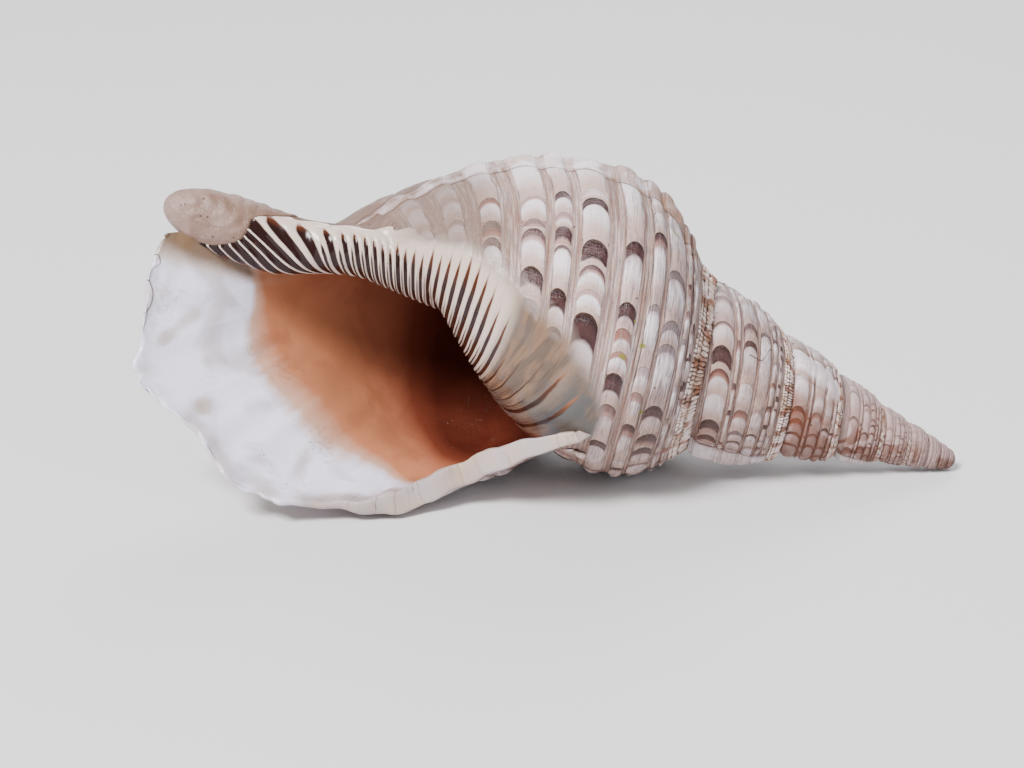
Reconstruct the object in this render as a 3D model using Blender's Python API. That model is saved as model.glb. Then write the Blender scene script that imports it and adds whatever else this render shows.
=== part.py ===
"""Triton's trumpet shell, grown as one piece and lying on its open lip, its back and its spire.

The shell winds about an axis. A point on it is given by its station along the axis from the apex,
its radius from the axis, and its bearing round the axis. Growth is given in degrees before the
outer lip: each full turn makes the outline larger by TURN_GROWTH. The solid is the union of the
shell as it stood at the first old lip (varix), which is closed from tip to tongue, and the sheet
that grew since then, which leaves the mouth open. All lengths are in metres.
"""

import math

import bmesh
import bpy
import numpy as np

# Growth of the spiral
TURN_GROWTH = 1.459
LIP_SCALE = 0.1704
LIP_BEARING = 300.0
APEX_STATION = 0.0050
WORN_APEX_END = 0.0078
TONGUE_END = 0.3580
FIRST_GROWTH = -3700.0
VARIX_SPACING = (-194.0, -465.0, -734.0, -970.0, -1212.0, -1455.0)
SHEET_START = VARIX_SPACING[0]

# Attitude at rest: the tongue end is raised, and the mouth faces the front (-Y)
AXIS_PITCH = math.radians(20.3)
AXIS_ROLL = math.radians(3.8)
APEX_POINT = (0.17654, -0.00381, 0.00147)

# Outline of the large whorl: station and radius, both over the growth scale
WHORL_OUTLINE = (
    (0.880, 0.238), (1.000, 0.279), (1.034, 0.303), (1.074, 0.350), (1.152, 0.418),
    (1.240, 0.462), (1.330, 0.474), (1.430, 0.463), (1.555, 0.428), (1.680, 0.368),
    (1.800, 0.288), (1.920, 0.178), (2.000, 0.085), (2.040, 0.030), (2.100, 0.000),
)
SUTURE_RATIO = 0.2785
SPIRE_BULGE = 0.025
SUTURE_DEPTH = 0.012
SUTURE_HALF_WIDTH = 0.024
OUTLINE_END = 2.040

# Spiral ribs: the stations between which each one stands, over the growth scale
RIBS = (
    (1.090, 1.112), (1.128, 1.152), (1.171, 1.221), (1.231, 1.275), (1.317, 1.364),
    (1.425, 1.511), (1.529, 1.576), (1.605, 1.678), (1.732, 1.784), (1.836, 1.880),
    (1.925, 1.960),
)
RIB_HEIGHT = 0.0014
VARIX_HEIGHT = 0.0032
VARIX_HALF_WIDTH = 6.0

# Columella and siphonal tongue
PILLAR_RADIUS = 0.0105
TONGUE_HALF_WIDTH = 0.0125
TONGUE_HALF_THICKNESS = 0.0075
TONGUE_SHIFT = 0.0093
TONGUE_BEARING = 286.0

# Outer lip: place along the growing edge, how far it is flared forward, and outward
LIP_FLARE = (
    (0.000, 0.0010, 0.0010), (0.030, 0.0006, 0.0110), (0.070, 0.0015, 0.0125),
    (0.120, 0.0050, 0.0090), (0.170, 0.0083, 0.0070), (0.215, 0.0094, 0.0085),
    (0.315, 0.0091, 0.0194), (0.387, 0.0120, 0.0250), (0.459, 0.0152, 0.0320),
    (0.520, 0.0185, 0.0363), (0.605, 0.0215, 0.0300), (0.657, 0.0225, 0.0266),
    (0.733, 0.0273, 0.0280), (0.778, 0.0305, 0.0295), (0.858, 0.0225, 0.0206),
    (0.930, 0.0150, 0.0130), (0.976, 0.0095, 0.0082), (1.000, 0.0033, 0.0060),
)
FLARE_SPAN = 52.0
FLARE_POWER = 2.7
HOLLOW_BEHIND_LIP = 0.0035
FULL_BACK = 0.0030
LIP_REACH = 33.0
WALL = 0.0042
LIP_MARGIN = 0.0055
SCALLOP_DEPTH = 0.0009
SCALLOPS = 17

# Mesh density
COLUMNS_PER_TURN = 60
WHORL_ROWS = 12
BASE_ROWS = 40
SHEET_COLUMNS = 40
SHEET_ROWS = 60
SOLID_TRIANGLES = 5800
SHEET_TRIANGLES = 3800


def smooth_step(low, high, value):
    """Rises from 0 at low to 1 at high, flat at both ends."""
    t = np.clip((value - low) / (high - low), 0.0, 1.0)
    return t * t * (3.0 - 2.0 * t)


def curve(points, column, place):
    """Smooth curve through the points' given column against their first, with no overshoot."""
    xs = np.array([p[0] for p in points])
    ys = np.array([p[column] for p in points])
    gap = np.diff(xs)
    slope = np.diff(ys) / gap
    tangent = np.zeros_like(ys)
    tangent[0] = slope[0]
    tangent[-1] = slope[-1]
    same_way = slope[:-1] * slope[1:] > 0.0
    first_weight = 2.0 * gap[1:] + gap[:-1]
    second_weight = gap[1:] + 2.0 * gap[:-1]
    safe_before = np.where(same_way, slope[:-1], 1.0)
    safe_after = np.where(same_way, slope[1:], 1.0)
    mean = (first_weight + second_weight) / (first_weight / safe_before + second_weight / safe_after)
    tangent[1:-1] = np.where(same_way, mean, 0.0)
    at = np.clip(place, xs[0], xs[-1])
    i = np.clip(np.searchsorted(xs, at, side="right") - 1, 0, len(gap) - 1)
    t = (at - xs[i]) / gap[i]
    return ((2 * t**3 - 3 * t**2 + 1) * ys[i] + (t**3 - 2 * t**2 + t) * gap[i] * tangent[i]
            + (3 * t**2 - 2 * t**3) * ys[i + 1] + (t**3 - t**2) * gap[i] * tangent[i + 1])


def growth_scale(growth):
    """Size of the outline at a growth angle."""
    return LIP_SCALE * TURN_GROWTH ** (growth / 360.0)


def suture_station(growth):
    """Station of the seam where a whorl leaves the one before it."""
    drift = (0.022 * np.exp(-((growth + 295.0) / 90.0) ** 2)
             + 0.045 * np.exp(-((growth + 1000.0) / 150.0) ** 2)
             - 0.0755 * smooth_step(-330.0, -100.0, growth))
    return growth_scale(growth) * np.exp(drift)


def outline(growth, ratio):
    """Radius over the growth scale: flat-sided in the spire, full in the last whorl and a half."""
    across = np.clip((ratio - 1.0) / (TURN_GROWTH - 1.0), 0.0, 1.0)
    flat = SUTURE_RATIO * (1.0 + (TURN_GROWTH - 1.0) * across)
    flat = flat + SPIRE_BULGE * np.sin(np.pi * across ** 0.85)
    full = curve(WHORL_OUTLINE, 1, ratio)
    share = np.maximum(smooth_step(-560.0, -390.0, growth), smooth_step(1.40, 1.68, ratio))
    return flat * (1.0 - share) + full * share


def rib_relief(ratio, reach=0.008):
    """Share of the full rib height, from 0 in the grooves to 1 on the ribs."""
    total = np.zeros_like(ratio)
    for start, end in RIBS:
        side = np.minimum(ratio - start, end - ratio)
        total = np.maximum(total, smooth_step(-reach, reach, side))
    return total


def whorl_radius(growth, station, sink=0.0):
    """Radius of the whorl that grew at this angle, anchored on the whorl before it at the suture."""
    scale = growth_scale(growth)
    seam = suture_station(growth)
    ratio = station / scale
    anchor = growth_scale(growth - 360.0) * outline(growth - 360.0, seam / growth_scale(growth - 360.0))
    free = scale * outline(growth, seam / scale)
    settle = np.exp(-np.maximum(ratio - seam / scale, 0.0) / 0.045)
    ribs = RIB_HEIGHT * (scale / LIP_SCALE) ** 0.7 * rib_relief(ratio)
    return scale * outline(growth, ratio) + (anchor - sink - free) * settle + ribs


def suture_notch(growth, station, newest):
    """Depth of the groove along the seams above and below a point of the whorl that grew at this angle."""
    scale = growth_scale(growth)
    width = SUTURE_HALF_WIDTH * scale
    above = np.exp(-((station - suture_station(growth)) / width) ** 2)
    below = np.exp(-((suture_station(growth + 360.0) - station) / width) ** 2)
    return SUTURE_DEPTH * scale * np.where(newest, above, np.maximum(above, below))


def centre_shift(station):
    """How far the centre of the neck and tongue stands off the axis."""
    return TONGUE_SHIFT * smooth_step(0.268, 0.312, station)


def pillar_radius(station, bearing):
    """Radius of the columella and the tongue, with the tongue's rounded end."""
    share = smooth_step(0.285, 0.312, station)
    wide = PILLAR_RADIUS + (TONGUE_HALF_WIDTH - PILLAR_RADIUS) * share
    thin = PILLAR_RADIUS + (TONGUE_HALF_THICKNESS - PILLAR_RADIUS) * share
    end = np.clip((station - 0.322) / (TONGUE_END - 0.322), 0.0, 1.0)
    turn = np.radians(bearing - TONGUE_BEARING)
    oval = 1.0 / np.sqrt((np.cos(turn) / wide) ** 2 + (np.sin(turn) / thin) ** 2)
    return oval * np.sqrt(1.0 - end ** 2.3)


def smooth_larger(a, b, blend):
    """The larger of two values, rounded over where they are near each other."""
    share = np.clip(0.5 + 0.5 * (a - b) / blend, 0.0, 1.0)
    return b + (a - b) * share + blend * share * (1.0 - share)


def varix_relief(growth, station):
    """Height of the old lips: low ridges across the whorls."""
    total = np.zeros_like(station)
    for place in VARIX_SPACING:
        scale = growth_scale(place) / growth_scale(SHEET_START)
        shape = np.exp(-((growth - place) / VARIX_HALF_WIDTH) ** 2)
        total = total + VARIX_HEIGHT * scale ** 0.3 * shape
    return total * (1.0 - smooth_step(0.240, 0.270, station))


def solid_radius(station, bearing):
    """Radius of the closed solid: the shell as it stood at the first old lip."""
    newest = (bearing - LIP_BEARING) % 360.0 - 360.0
    newest = np.where(newest > SHEET_START, newest - 360.0, newest)
    radius = SUTURE_RATIO * station
    growth = newest
    for turn in range(9):
        here = newest - 360.0 * (8 - turn)
        reached = station >= suture_station(here) - 1e-9
        radius = np.where(reached, whorl_radius(here, station), radius)
        growth = np.where(reached, here, growth)
    ahead = newest + 360.0 - SHEET_START
    behind = ahead > 0.0
    filled = whorl_radius(np.full_like(station, SHEET_START), station)
    open_to = suture_station(np.full_like(station, SHEET_START)) + 0.002
    ramp = np.where(behind & (station > open_to), 1.0 - smooth_step(2.0, 24.0, ahead), 0.0)
    radius = radius + np.maximum(filled - radius, 0.0) * ramp
    radius = radius - suture_notch(growth, station, growth + 360.0 > SHEET_START)
    ridge = varix_relief(growth, station)
    front = VARIX_HEIGHT * np.exp(-(ahead / VARIX_HALF_WIDTH) ** 2) * smooth_step(0.0, 0.008, station - open_to)
    ridge = np.where(behind, front * (1.0 - smooth_step(0.240, 0.270, station)), ridge)
    radius = radius + ridge
    pillar = pillar_radius(station, bearing)
    radius = np.where(station > 0.150, smooth_larger(radius, pillar, 0.004), radius)
    radius = np.where(station > TONGUE_END - 0.040, pillar, radius)
    tip = np.sqrt(1.0 - np.exp(-np.maximum(station - APEX_STATION, 0.0) / 0.0022))
    return radius * tip


def place_points(station, radius, bearing):
    """World points from station, radius and bearing."""
    turn = np.radians(bearing)
    lean = np.radians(TONGUE_BEARING)
    shift = centre_shift(station)
    across = radius * np.cos(turn) + shift * math.cos(lean)
    above = radius * np.sin(turn) + shift * math.sin(lean)
    toward = across * math.cos(AXIS_ROLL) - above * math.sin(AXIS_ROLL)
    rise = across * math.sin(AXIS_ROLL) + above * math.cos(AXIS_ROLL)
    x = APEX_POINT[0] - station * math.cos(AXIS_PITCH) + rise * math.sin(AXIS_PITCH)
    y = APEX_POINT[1] - toward
    z = APEX_POINT[2] + station * math.sin(AXIS_PITCH) + rise * math.cos(AXIS_PITCH)
    return np.stack([x, y, z], axis=-1)


def make_object(name, points, faces, kept=()):
    """Object from points and faces; a vertex group leaves out the points that thinning must keep."""
    mesh = bpy.data.meshes.new(name)
    mesh.from_pydata(points.tolist(), [], faces)
    body = bmesh.new()
    body.from_mesh(mesh)
    weights = body.verts.layers.deform.verify()
    kept = set(kept)
    for vertex in body.verts:
        vertex[weights][0] = 0.0 if vertex.index in kept else 1.0
    bmesh.ops.remove_doubles(body, verts=body.verts, dist=0.00002)
    bmesh.ops.triangulate(body, faces=body.faces)
    bmesh.ops.recalc_face_normals(body, faces=body.faces)
    body.to_mesh(mesh)
    body.free()
    mesh.polygons.foreach_set("use_smooth", [True] * len(mesh.polygons))
    item = bpy.data.objects.new(name, mesh)
    item.vertex_groups.new(name="may_thin")
    bpy.context.scene.collection.objects.link(item)
    return item


def column_stations(growth, is_last_turn):
    """Stations down one column of the newest turn, or across one whorl of an older one."""
    begin = float(suture_station(np.float64(growth)))
    finish = float(suture_station(np.float64(growth + 360.0)))
    if begin < WORN_APEX_END:
        begin = APEX_STATION
    if finish < WORN_APEX_END:
        finish = APEX_STATION
    across = [begin + (finish - begin) * row / WHORL_ROWS for row in range(WHORL_ROWS)]
    if not is_last_turn:
        return across
    for row in range(BASE_ROWS + 1):
        share = row / BASE_ROWS
        across.append(finish + (TONGUE_END - finish) * share)
    return across


def zip_columns(left, right, left_heights, right_heights):
    """Triangles between two columns of points that have different counts."""
    faces = []
    i = 0
    j = 0
    while i < len(left) - 1 or j < len(right) - 1:
        move_left = j == len(right) - 1 or (
            i < len(left) - 1 and left_heights[i + 1] <= right_heights[j + 1])
        if move_left:
            faces.append((left[i], left[i + 1], right[j]))
            i += 1
        else:
            faces.append((left[i], right[j + 1], right[j]))
            j += 1
    return faces


def make_closed_shell():
    """The shell up to the first old lip, as one closed solid on a spiral net of columns and rows."""
    turns = int(math.ceil((SHEET_START - FIRST_GROWTH) / 360.0))
    count = turns * COLUMNS_PER_TURN
    growths = [SHEET_START - 360.0 * (count - i) / COLUMNS_PER_TURN for i in range(count + 1)]
    stations = []
    bearings = []
    columns = []
    for i, growth in enumerate(growths[:-1]):
        heights = column_stations(growth, i > count - COLUMNS_PER_TURN - 1)
        columns.append(list(range(len(stations), len(stations) + len(heights))))
        stations.extend(heights)
        bearings.extend([LIP_BEARING + growth] * len(heights))
    columns.append(columns[count - COLUMNS_PER_TURN][WHORL_ROWS:])
    stations = np.array(stations)
    bearings = np.array(bearings)
    points = place_points(stations, solid_radius(stations, bearings), bearings)
    faces = []
    for i in range(count - 1):
        here = columns[i]
        ahead = columns[i + 1]
        if i < count - COLUMNS_PER_TURN:
            here = here + [columns[i + COLUMNS_PER_TURN][0]]
            ahead = ahead[:WHORL_ROWS] + [columns[i + 1 + COLUMNS_PER_TURN][0]]
        for j in range(len(here) - 1):
            faces.append((here[j], here[j + 1], ahead[j + 1], ahead[j]))
    left = columns[count - 1]
    right = columns[count]
    faces += zip_columns(left, right, stations[left], stations[right])
    return make_object("closed_shell", points, faces)


def outline_arc():
    """Station ratios along the outline, and the length of outline up to each."""
    ratio = np.linspace(WHORL_OUTLINE[0][0], OUTLINE_END, 400)
    radius = curve(WHORL_OUTLINE, 1, ratio)
    step = np.hypot(np.diff(ratio), np.diff(radius))
    return ratio, np.concatenate([[0.0], np.cumsum(step)])


def lip_growth(place):
    """Growth angle of the lip's edge: it runs on along the suture at its top end."""
    return LIP_REACH * (1.0 - smooth_step(0.0, 0.22, place))


def sheet_point(growth, place):
    """Station and radius of the last sheet's outer face; place runs 0 at the suture to 1 at the tongue."""
    ratio, length = outline_arc()
    scale = growth_scale(growth)
    seam = suture_station(growth) / scale - 0.008
    start = np.interp(seam, ratio, length)
    at = np.interp(start + (length[-1] - start) * place, length, ratio)
    station = at * scale
    radius = whorl_radius(growth, station, sink=0.002)
    late = np.clip((growth - lip_growth(place) + FLARE_SPAN) / FLARE_SPAN, 0.0, 1.2)
    flare = late ** FLARE_POWER
    forward = curve(LIP_FLARE, 1, place) * flare
    outward = curve(LIP_FLARE, 2, place) * flare
    wave = np.sin(2.0 * np.pi * SCALLOPS * place) * smooth_step(0.05, 0.2, place)
    outward = outward + SCALLOP_DEPTH * late ** 6 * wave
    middle = smooth_step(0.12, 0.30, place) * (1.0 - smooth_step(0.60, 0.85, place))
    back = smooth_step(0.0, 0.1, place) * (1.0 - smooth_step(0.5, 0.8, place))
    overlap = 0.003 * (1.0 - smooth_step(SHEET_START - 12.0, SHEET_START - 2.0, growth))
    hollow = HOLLOW_BEHIND_LIP * middle * np.exp(-((growth + 25.0) / 13.0) ** 2)
    fuller = FULL_BACK * back * np.exp(-((growth + 60.0) / 15.0) ** 2)
    return station + forward, radius + outward + fuller - overlap - hollow


def sheet_wall(growth, place):
    """Thickness of the last sheet, with the broad margin at the upper half of the lip."""
    near_lip = smooth_step(-14.0, -2.0, growth - lip_growth(place))
    margin = LIP_MARGIN * (1.0 - smooth_step(0.30, 0.42, place)) * smooth_step(0.0, 0.03, place)
    return WALL + margin * near_lip


def make_last_sheet():
    """The last half turn of shell, as a closed sheet with a rounded lip."""
    rows = np.linspace(0.0, 1.0, SHEET_ROWS + 1)
    begin = SHEET_START - 12.0
    share = np.linspace(0.0, 1.0, SHEET_COLUMNS + 1)
    share = 1.0 - (1.0 - share) ** 1.25
    place, along = np.meshgrid(rows, share)
    growth = begin + (lip_growth(place) - begin) * along
    station, radius = sheet_point(growth, place)
    outer = place_points(station, radius, LIP_BEARING + growth)
    tangent_along = np.gradient(outer, axis=0)
    tangent_across = np.gradient(outer, axis=1)
    inward = np.cross(tangent_along, tangent_across)
    inward /= np.linalg.norm(inward, axis=-1, keepdims=True)
    middle = place_points(station, radius * 0.0, LIP_BEARING + growth)
    if np.sum(inward * (middle - outer)) < 0.0:
        inward = -inward
    wall = sheet_wall(growth, place)[..., None]
    inner = outer + inward * wall
    edge_out = tangent_along[-1] / np.linalg.norm(tangent_along[-1], axis=-1, keepdims=True)
    half = wall[-1] * 0.5
    middle_edge = outer[-1] + inward[-1] * half + edge_out * half * 0.8
    layers = np.concatenate([outer, middle_edge[None], inner[::-1]], axis=0)
    n, m = layers.shape[:2]
    index = np.arange(n * m).reshape(n, m)
    faces = []
    for i in range(n):
        ahead = (i + 1) % n
        for j in range(m - 1):
            faces.append((int(index[i, j]), int(index[i, j + 1]), int(index[ahead, j + 1]), int(index[ahead, j])))
    for j in (0, m - 1):
        for i in range(SHEET_COLUMNS):
            k = n - 1 - i
            last = k - 1
            faces.append((int(index[i, j]), int(index[i + 1, j]), int(index[last, j]), int(index[k, j])))
        faces.append((int(index[SHEET_COLUMNS, j]), int(index[SHEET_COLUMNS + 1, j]),
                      int(index[SHEET_COLUMNS + 2, j])))
    lip_rows = index[SHEET_COLUMNS:SHEET_COLUMNS + 3].ravel().tolist()
    return make_object("last_sheet", layers.reshape(-1, 3), faces, lip_rows)


def thin_out(item, triangles):
    """Leaves fewer triangles where the surface is nearly flat."""
    thin = item.modifiers.new("Fewer triangles", "DECIMATE")
    thin.decimate_type = "COLLAPSE"
    thin.ratio = triangles / len(item.data.polygons)
    thin.use_collapse_triangulate = True
    thin.vertex_group = "may_thin"


def shell_material():
    """Glazed cream shell."""
    material = bpy.data.materials.new("shell_glaze")
    material.use_nodes = True
    surface = material.node_tree.nodes["Principled BSDF"]
    surface.inputs["Base Color"].default_value = (0.72, 0.56, 0.44, 1.0)
    surface.inputs["Roughness"].default_value = 0.28
    surface.inputs["Metallic"].default_value = 0.0
    return material


def build():
    """Models the shell."""
    for item in list(bpy.data.objects):
        bpy.data.objects.remove(item, do_unlink=True)
    shell = make_closed_shell()
    shell.name = "triton_shell"
    thin_out(shell, SOLID_TRIANGLES)
    sheet = make_last_sheet()
    thin_out(sheet, SHEET_TRIANGLES)
    sheet.hide_render = True
    sheet.display_type = "WIRE"
    join = shell.modifiers.new("Join last sheet", "BOOLEAN")
    join.operation = "UNION"
    join.solver = "EXACT"
    join.object = sheet
    shell.data.materials.append(shell_material())


build()
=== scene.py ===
"""Dresses the triton's trumpet shell and sets it in a plain studio.

The shell winds about an axis. A point on it has a station along the axis from the apex, a radius, a
bearing round the axis, and a growth angle in degrees before the outer lip. Every surface here is a
function of two of these, worked out as whole arrays.
"""
import logging
import math
from dataclasses import dataclass, field, replace
from enum import Enum

import bmesh
import bpy
import numpy as np
from mathutils import Matrix


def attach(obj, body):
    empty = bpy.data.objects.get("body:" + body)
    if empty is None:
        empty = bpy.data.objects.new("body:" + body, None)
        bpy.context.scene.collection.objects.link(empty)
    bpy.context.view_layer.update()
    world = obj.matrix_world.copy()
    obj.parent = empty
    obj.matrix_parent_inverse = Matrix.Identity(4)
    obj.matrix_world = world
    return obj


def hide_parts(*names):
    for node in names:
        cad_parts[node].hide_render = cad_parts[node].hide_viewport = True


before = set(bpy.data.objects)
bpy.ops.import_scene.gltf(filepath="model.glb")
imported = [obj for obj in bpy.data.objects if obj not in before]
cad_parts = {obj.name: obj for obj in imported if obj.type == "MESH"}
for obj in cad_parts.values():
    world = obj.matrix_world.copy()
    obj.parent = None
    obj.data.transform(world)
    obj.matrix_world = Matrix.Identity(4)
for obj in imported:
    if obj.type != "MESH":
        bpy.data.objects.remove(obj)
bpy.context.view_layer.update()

LOG = logging.getLogger("triton_shell")
SHELL_NODE = "triton_shell"
Array = np.ndarray
WAVE_RATES = (1.0, 4.0)
MERGE_REACH = 0.00002


# Numbers and curves

def smooth_step(low: float, high: float, value: Array) -> Array:
    """Rises from 0 at low to 1 at high, flat at both ends: 3t^2 - 2t^3."""
    t = np.clip((value - low) / (high - low), 0.0, 1.0)
    return t * t * (3.0 - 2.0 * t)


def bump_at(value: Array, centre: float, width: float) -> Array:
    """A bell about the centre: exp(-((value - centre) / width)^2)."""
    return np.exp(-((value - centre) / width) ** 2)


def curve(points: tuple, column: int, place: Array) -> Array:
    """Smooth curve through driving points, with no overshoot.

    Each span is a cubic whose end slopes are the weighted harmonic means of the slopes beside them.

    Args:
        points: rows that start with the position along the curve.
        column: which number of each row the curve goes through.
        place: positions to read.

    Returns:
        The curve's value at each position.
    """
    xs = np.array([p[0] for p in points])
    ys = np.array([p[column] for p in points])
    gap = np.diff(xs)
    slope = np.diff(ys) / gap
    tangent = np.zeros_like(ys)
    tangent[0] = slope[0]
    tangent[-1] = slope[-1]
    same_way = slope[:-1] * slope[1:] > 0.0
    first = 2.0 * gap[1:] + gap[:-1]
    second = gap[1:] + 2.0 * gap[:-1]
    before = np.where(same_way, slope[:-1], 1.0)
    after = np.where(same_way, slope[1:], 1.0)
    tangent[1:-1] = np.where(same_way, (first + second) / (first / before + second / after), 0.0)
    at = np.clip(place, xs[0], xs[-1])
    i = np.clip(np.searchsorted(xs, at, side="right") - 1, 0, len(gap) - 1)
    t = (at - xs[i]) / gap[i]
    return ((2 * t**3 - 3 * t**2 + 1) * ys[i] + (t**3 - 2 * t**2 + t) * gap[i] * tangent[i]
            + (3 * t**2 - 2 * t**3) * ys[i + 1] + (t**3 - t**2) * gap[i] * tangent[i + 1])


def waves(u: Array, v: Array, seed: int, count: int) -> Array:
    """Soft irregular waves: a sum of sines with seeded directions and phases, within about 1.

    Args:
        u: first place; a wave is 1.6 to 6.3 long in it.
        v: second place, the same way.
        seed: seed of the draws.
        count: number of sines.

    Returns:
        The waves' height at each place.
    """
    rng = np.random.default_rng(seed)
    total = np.zeros(np.broadcast(u, v).shape)
    for _ in range(count):
        a, b = rng.uniform(*WAVE_RATES, 2) * rng.choice([-1.0, 1.0], 2)
        total = total + np.sin(a * u + b * v + rng.uniform(0.0, 2.0 * np.pi))
    return total / math.sqrt(count) / 1.4


def triple(first: Array, second: Array | float, third: Array | float) -> Array:
    """Three numbers a point, side by side, as an attribute holds them."""
    return np.stack(np.broadcast_arrays(first, second, third), axis=-1)


# The spiral that every piece shares

@dataclass(frozen=True)
class Spiral:
    """The shell's law of growth and its attitude, with the same values as the solid."""

    turn_growth: float = 1.459
    lip_scale: float = 0.1704
    lip_bearing: float = 300.0
    apex_station: float = 0.0050
    worn_apex_end: float = 0.0078
    tongue_end: float = 0.3580
    varices: tuple = (-194.0, -465.0, -724.0, -970.0, -1212.0, -1447.0)
    varix_sizes: tuple = (1.0, 0.6, 1.45, 0.5, 0.5, 0.38)
    old_lip_lead: float = 18.0
    old_lip_stretch: float = 1.6
    pitch: float = math.radians(20.3)
    roll: float = math.radians(3.8)
    apex: tuple = (0.17654, -0.00381, 0.00147)
    whorl_outline: tuple = (
        (0.880, 0.238), (1.000, 0.279), (1.034, 0.303), (1.074, 0.350), (1.152, 0.418),
        (1.240, 0.462), (1.330, 0.474), (1.430, 0.463), (1.555, 0.428), (1.680, 0.368),
        (1.800, 0.288), (1.920, 0.178), (2.000, 0.085), (2.040, 0.030), (2.100, 0.000),
    )
    suture_ratio: float = 0.2785
    spire_bulge: float = 0.029
    suture_depth: float = 0.012
    suture_half_width: float = 0.028
    spire_suture_depth: float = 0.012
    outline_end: float = 2.040
    rib_height: float = 0.0014
    varix_height: float = 0.0032
    varix_half_width: float = 6.0
    rib_edge: float = 0.005
    settle_length: float = 0.045
    most_whorls: int = 9
    pillar_blend: float = 0.004
    tip_round: float = 0.0009
    pillar: float = 0.0105
    tongue_half_width: float = 0.0125
    tongue_half_thickness: float = 0.0075
    tongue_shift: float = 0.0093
    tongue_bearing: float = 286.0
    # station near the worn tip, and how much fuller than the cone it is
    worn_tip: tuple = (
        (0.0050, 0.0000), (0.0053, 0.0008), (0.0060, 0.0014), (0.0074, 0.00185), (0.0090, 0.0019),
        (0.0120, 0.0019), (0.0170, 0.0017), (0.0240, 0.0013), (0.0300, 0.0006), (0.0370, 0.0000),
    )
    # station ratio, and how many degrees an old lip lies behind its angle there
    lip_lag: tuple = (
        (1.000, -24.0), (1.140, -21.0), (1.200, -14.0), (1.340, -9.5), (1.500, -5.0), (1.750, 0.0),
        (2.040, 1.0),
    )
    # each rib: from and to on the spire, then from and to on the last whorl and a half
    ribs: tuple = (
        (1.082, 1.104, 1.082, 1.100), (1.112, 1.136, 1.110, 1.128), (1.151, 1.207, 1.140, 1.207),
        (1.225, 1.297, 1.222, 1.264), (1.314, 1.332, 1.300, 1.357), (1.352, 1.452, 1.410, 1.490),
        (1.520, 1.570, 1.520, 1.570), (1.596, 1.665, 1.596, 1.665), (1.722, 1.776, 1.722, 1.776),
        (1.820, 1.866, 1.820, 1.866), (1.905, 1.945, 1.905, 1.945),
    )

    @property
    def first_varix(self) -> float:
        """Growth angle of the newest old lip."""
        return self.varices[0]

    def scale(self, growth: Array) -> Array:
        """Size of the outline: it grows by the same share each turn."""
        return self.lip_scale * self.turn_growth ** (growth / 360.0)

    def suture(self, growth: Array) -> Array:
        """Station of the seam where a whorl leaves the one before it: the scale times a slow drift."""
        drift = (0.022 * bump_at(growth, -295.0, 90.0) + 0.045 * bump_at(growth, -1000.0, 150.0)
                 - 0.0755 * smooth_step(-330.0, -100.0, growth))
        return self.scale(growth) * np.exp(drift)

    def outline(self, growth: Array, ratio: Array) -> Array:
        """Radius over the scale: flat-sided in the spire, full in the last whorl and a half.

        Args:
            growth: growth angles.
            ratio: stations over the scale.

        Returns:
            Radii over the scale.
        """
        across = np.clip((ratio - 1.0) / (self.turn_growth - 1.0), 0.0, 1.0)
        flat = self.suture_ratio * (1.0 + (self.turn_growth - 1.0) * across)
        flat = flat + self.spire_bulge * np.sin(np.pi * across ** 0.85)
        full = curve(self.whorl_outline, 1, ratio)
        share = np.maximum(smooth_step(-560.0, -390.0, growth), smooth_step(1.40, 1.68, ratio))
        return flat * (1.0 - share) + full * share

    def rib_edges(self, growth: Array) -> tuple[Array, Array]:
        """Where each rib begins and ends.

        Args:
            growth: growth angles.

        Returns:
            Station ratios of the near and the far edges; the last axis counts the ribs.
        """
        table = np.array(self.ribs)
        late = smooth_step(-560.0, -420.0, growth)[..., None]
        order = 2.1 * np.arange(len(table))
        wander = [0.0014 * waves(growth[..., None] / 8.0, order, seed, 5) for seed in (34, 35)]
        return (table[:, 0] + (table[:, 2] - table[:, 0]) * late + wander[0],
                table[:, 1] + (table[:, 3] - table[:, 1]) * late + wander[1])

    def rib_place(self, growth: Array, ratio: Array) -> tuple[Array, Array, Array]:
        """Which rib a point is nearest to, how far across it, and how much it stands.

        Args:
            growth: growth angles.
            ratio: stations over the scale.

        Returns:
            The rib's number, the place across it from -1 to 1 (more in the grooves), and its height
            as a share that rises over 0.005 of the scale at each edge.
        """
        start, end = self.rib_edges(growth)
        across = (2.0 * ratio[..., None] - start - end) / (end - start)
        half = 0.5 * (end - start)
        number = np.argmin((np.abs(across) - 1.0) * half, axis=-1)
        pick = np.expand_dims(number, -1)
        across = np.take_along_axis(across, pick, -1)[..., 0]
        half = np.take_along_axis(half, pick, -1)[..., 0]
        side = (1.0 - np.abs(across)) * half
        return number, across, smooth_step(-self.rib_edge, self.rib_edge, side)

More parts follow.
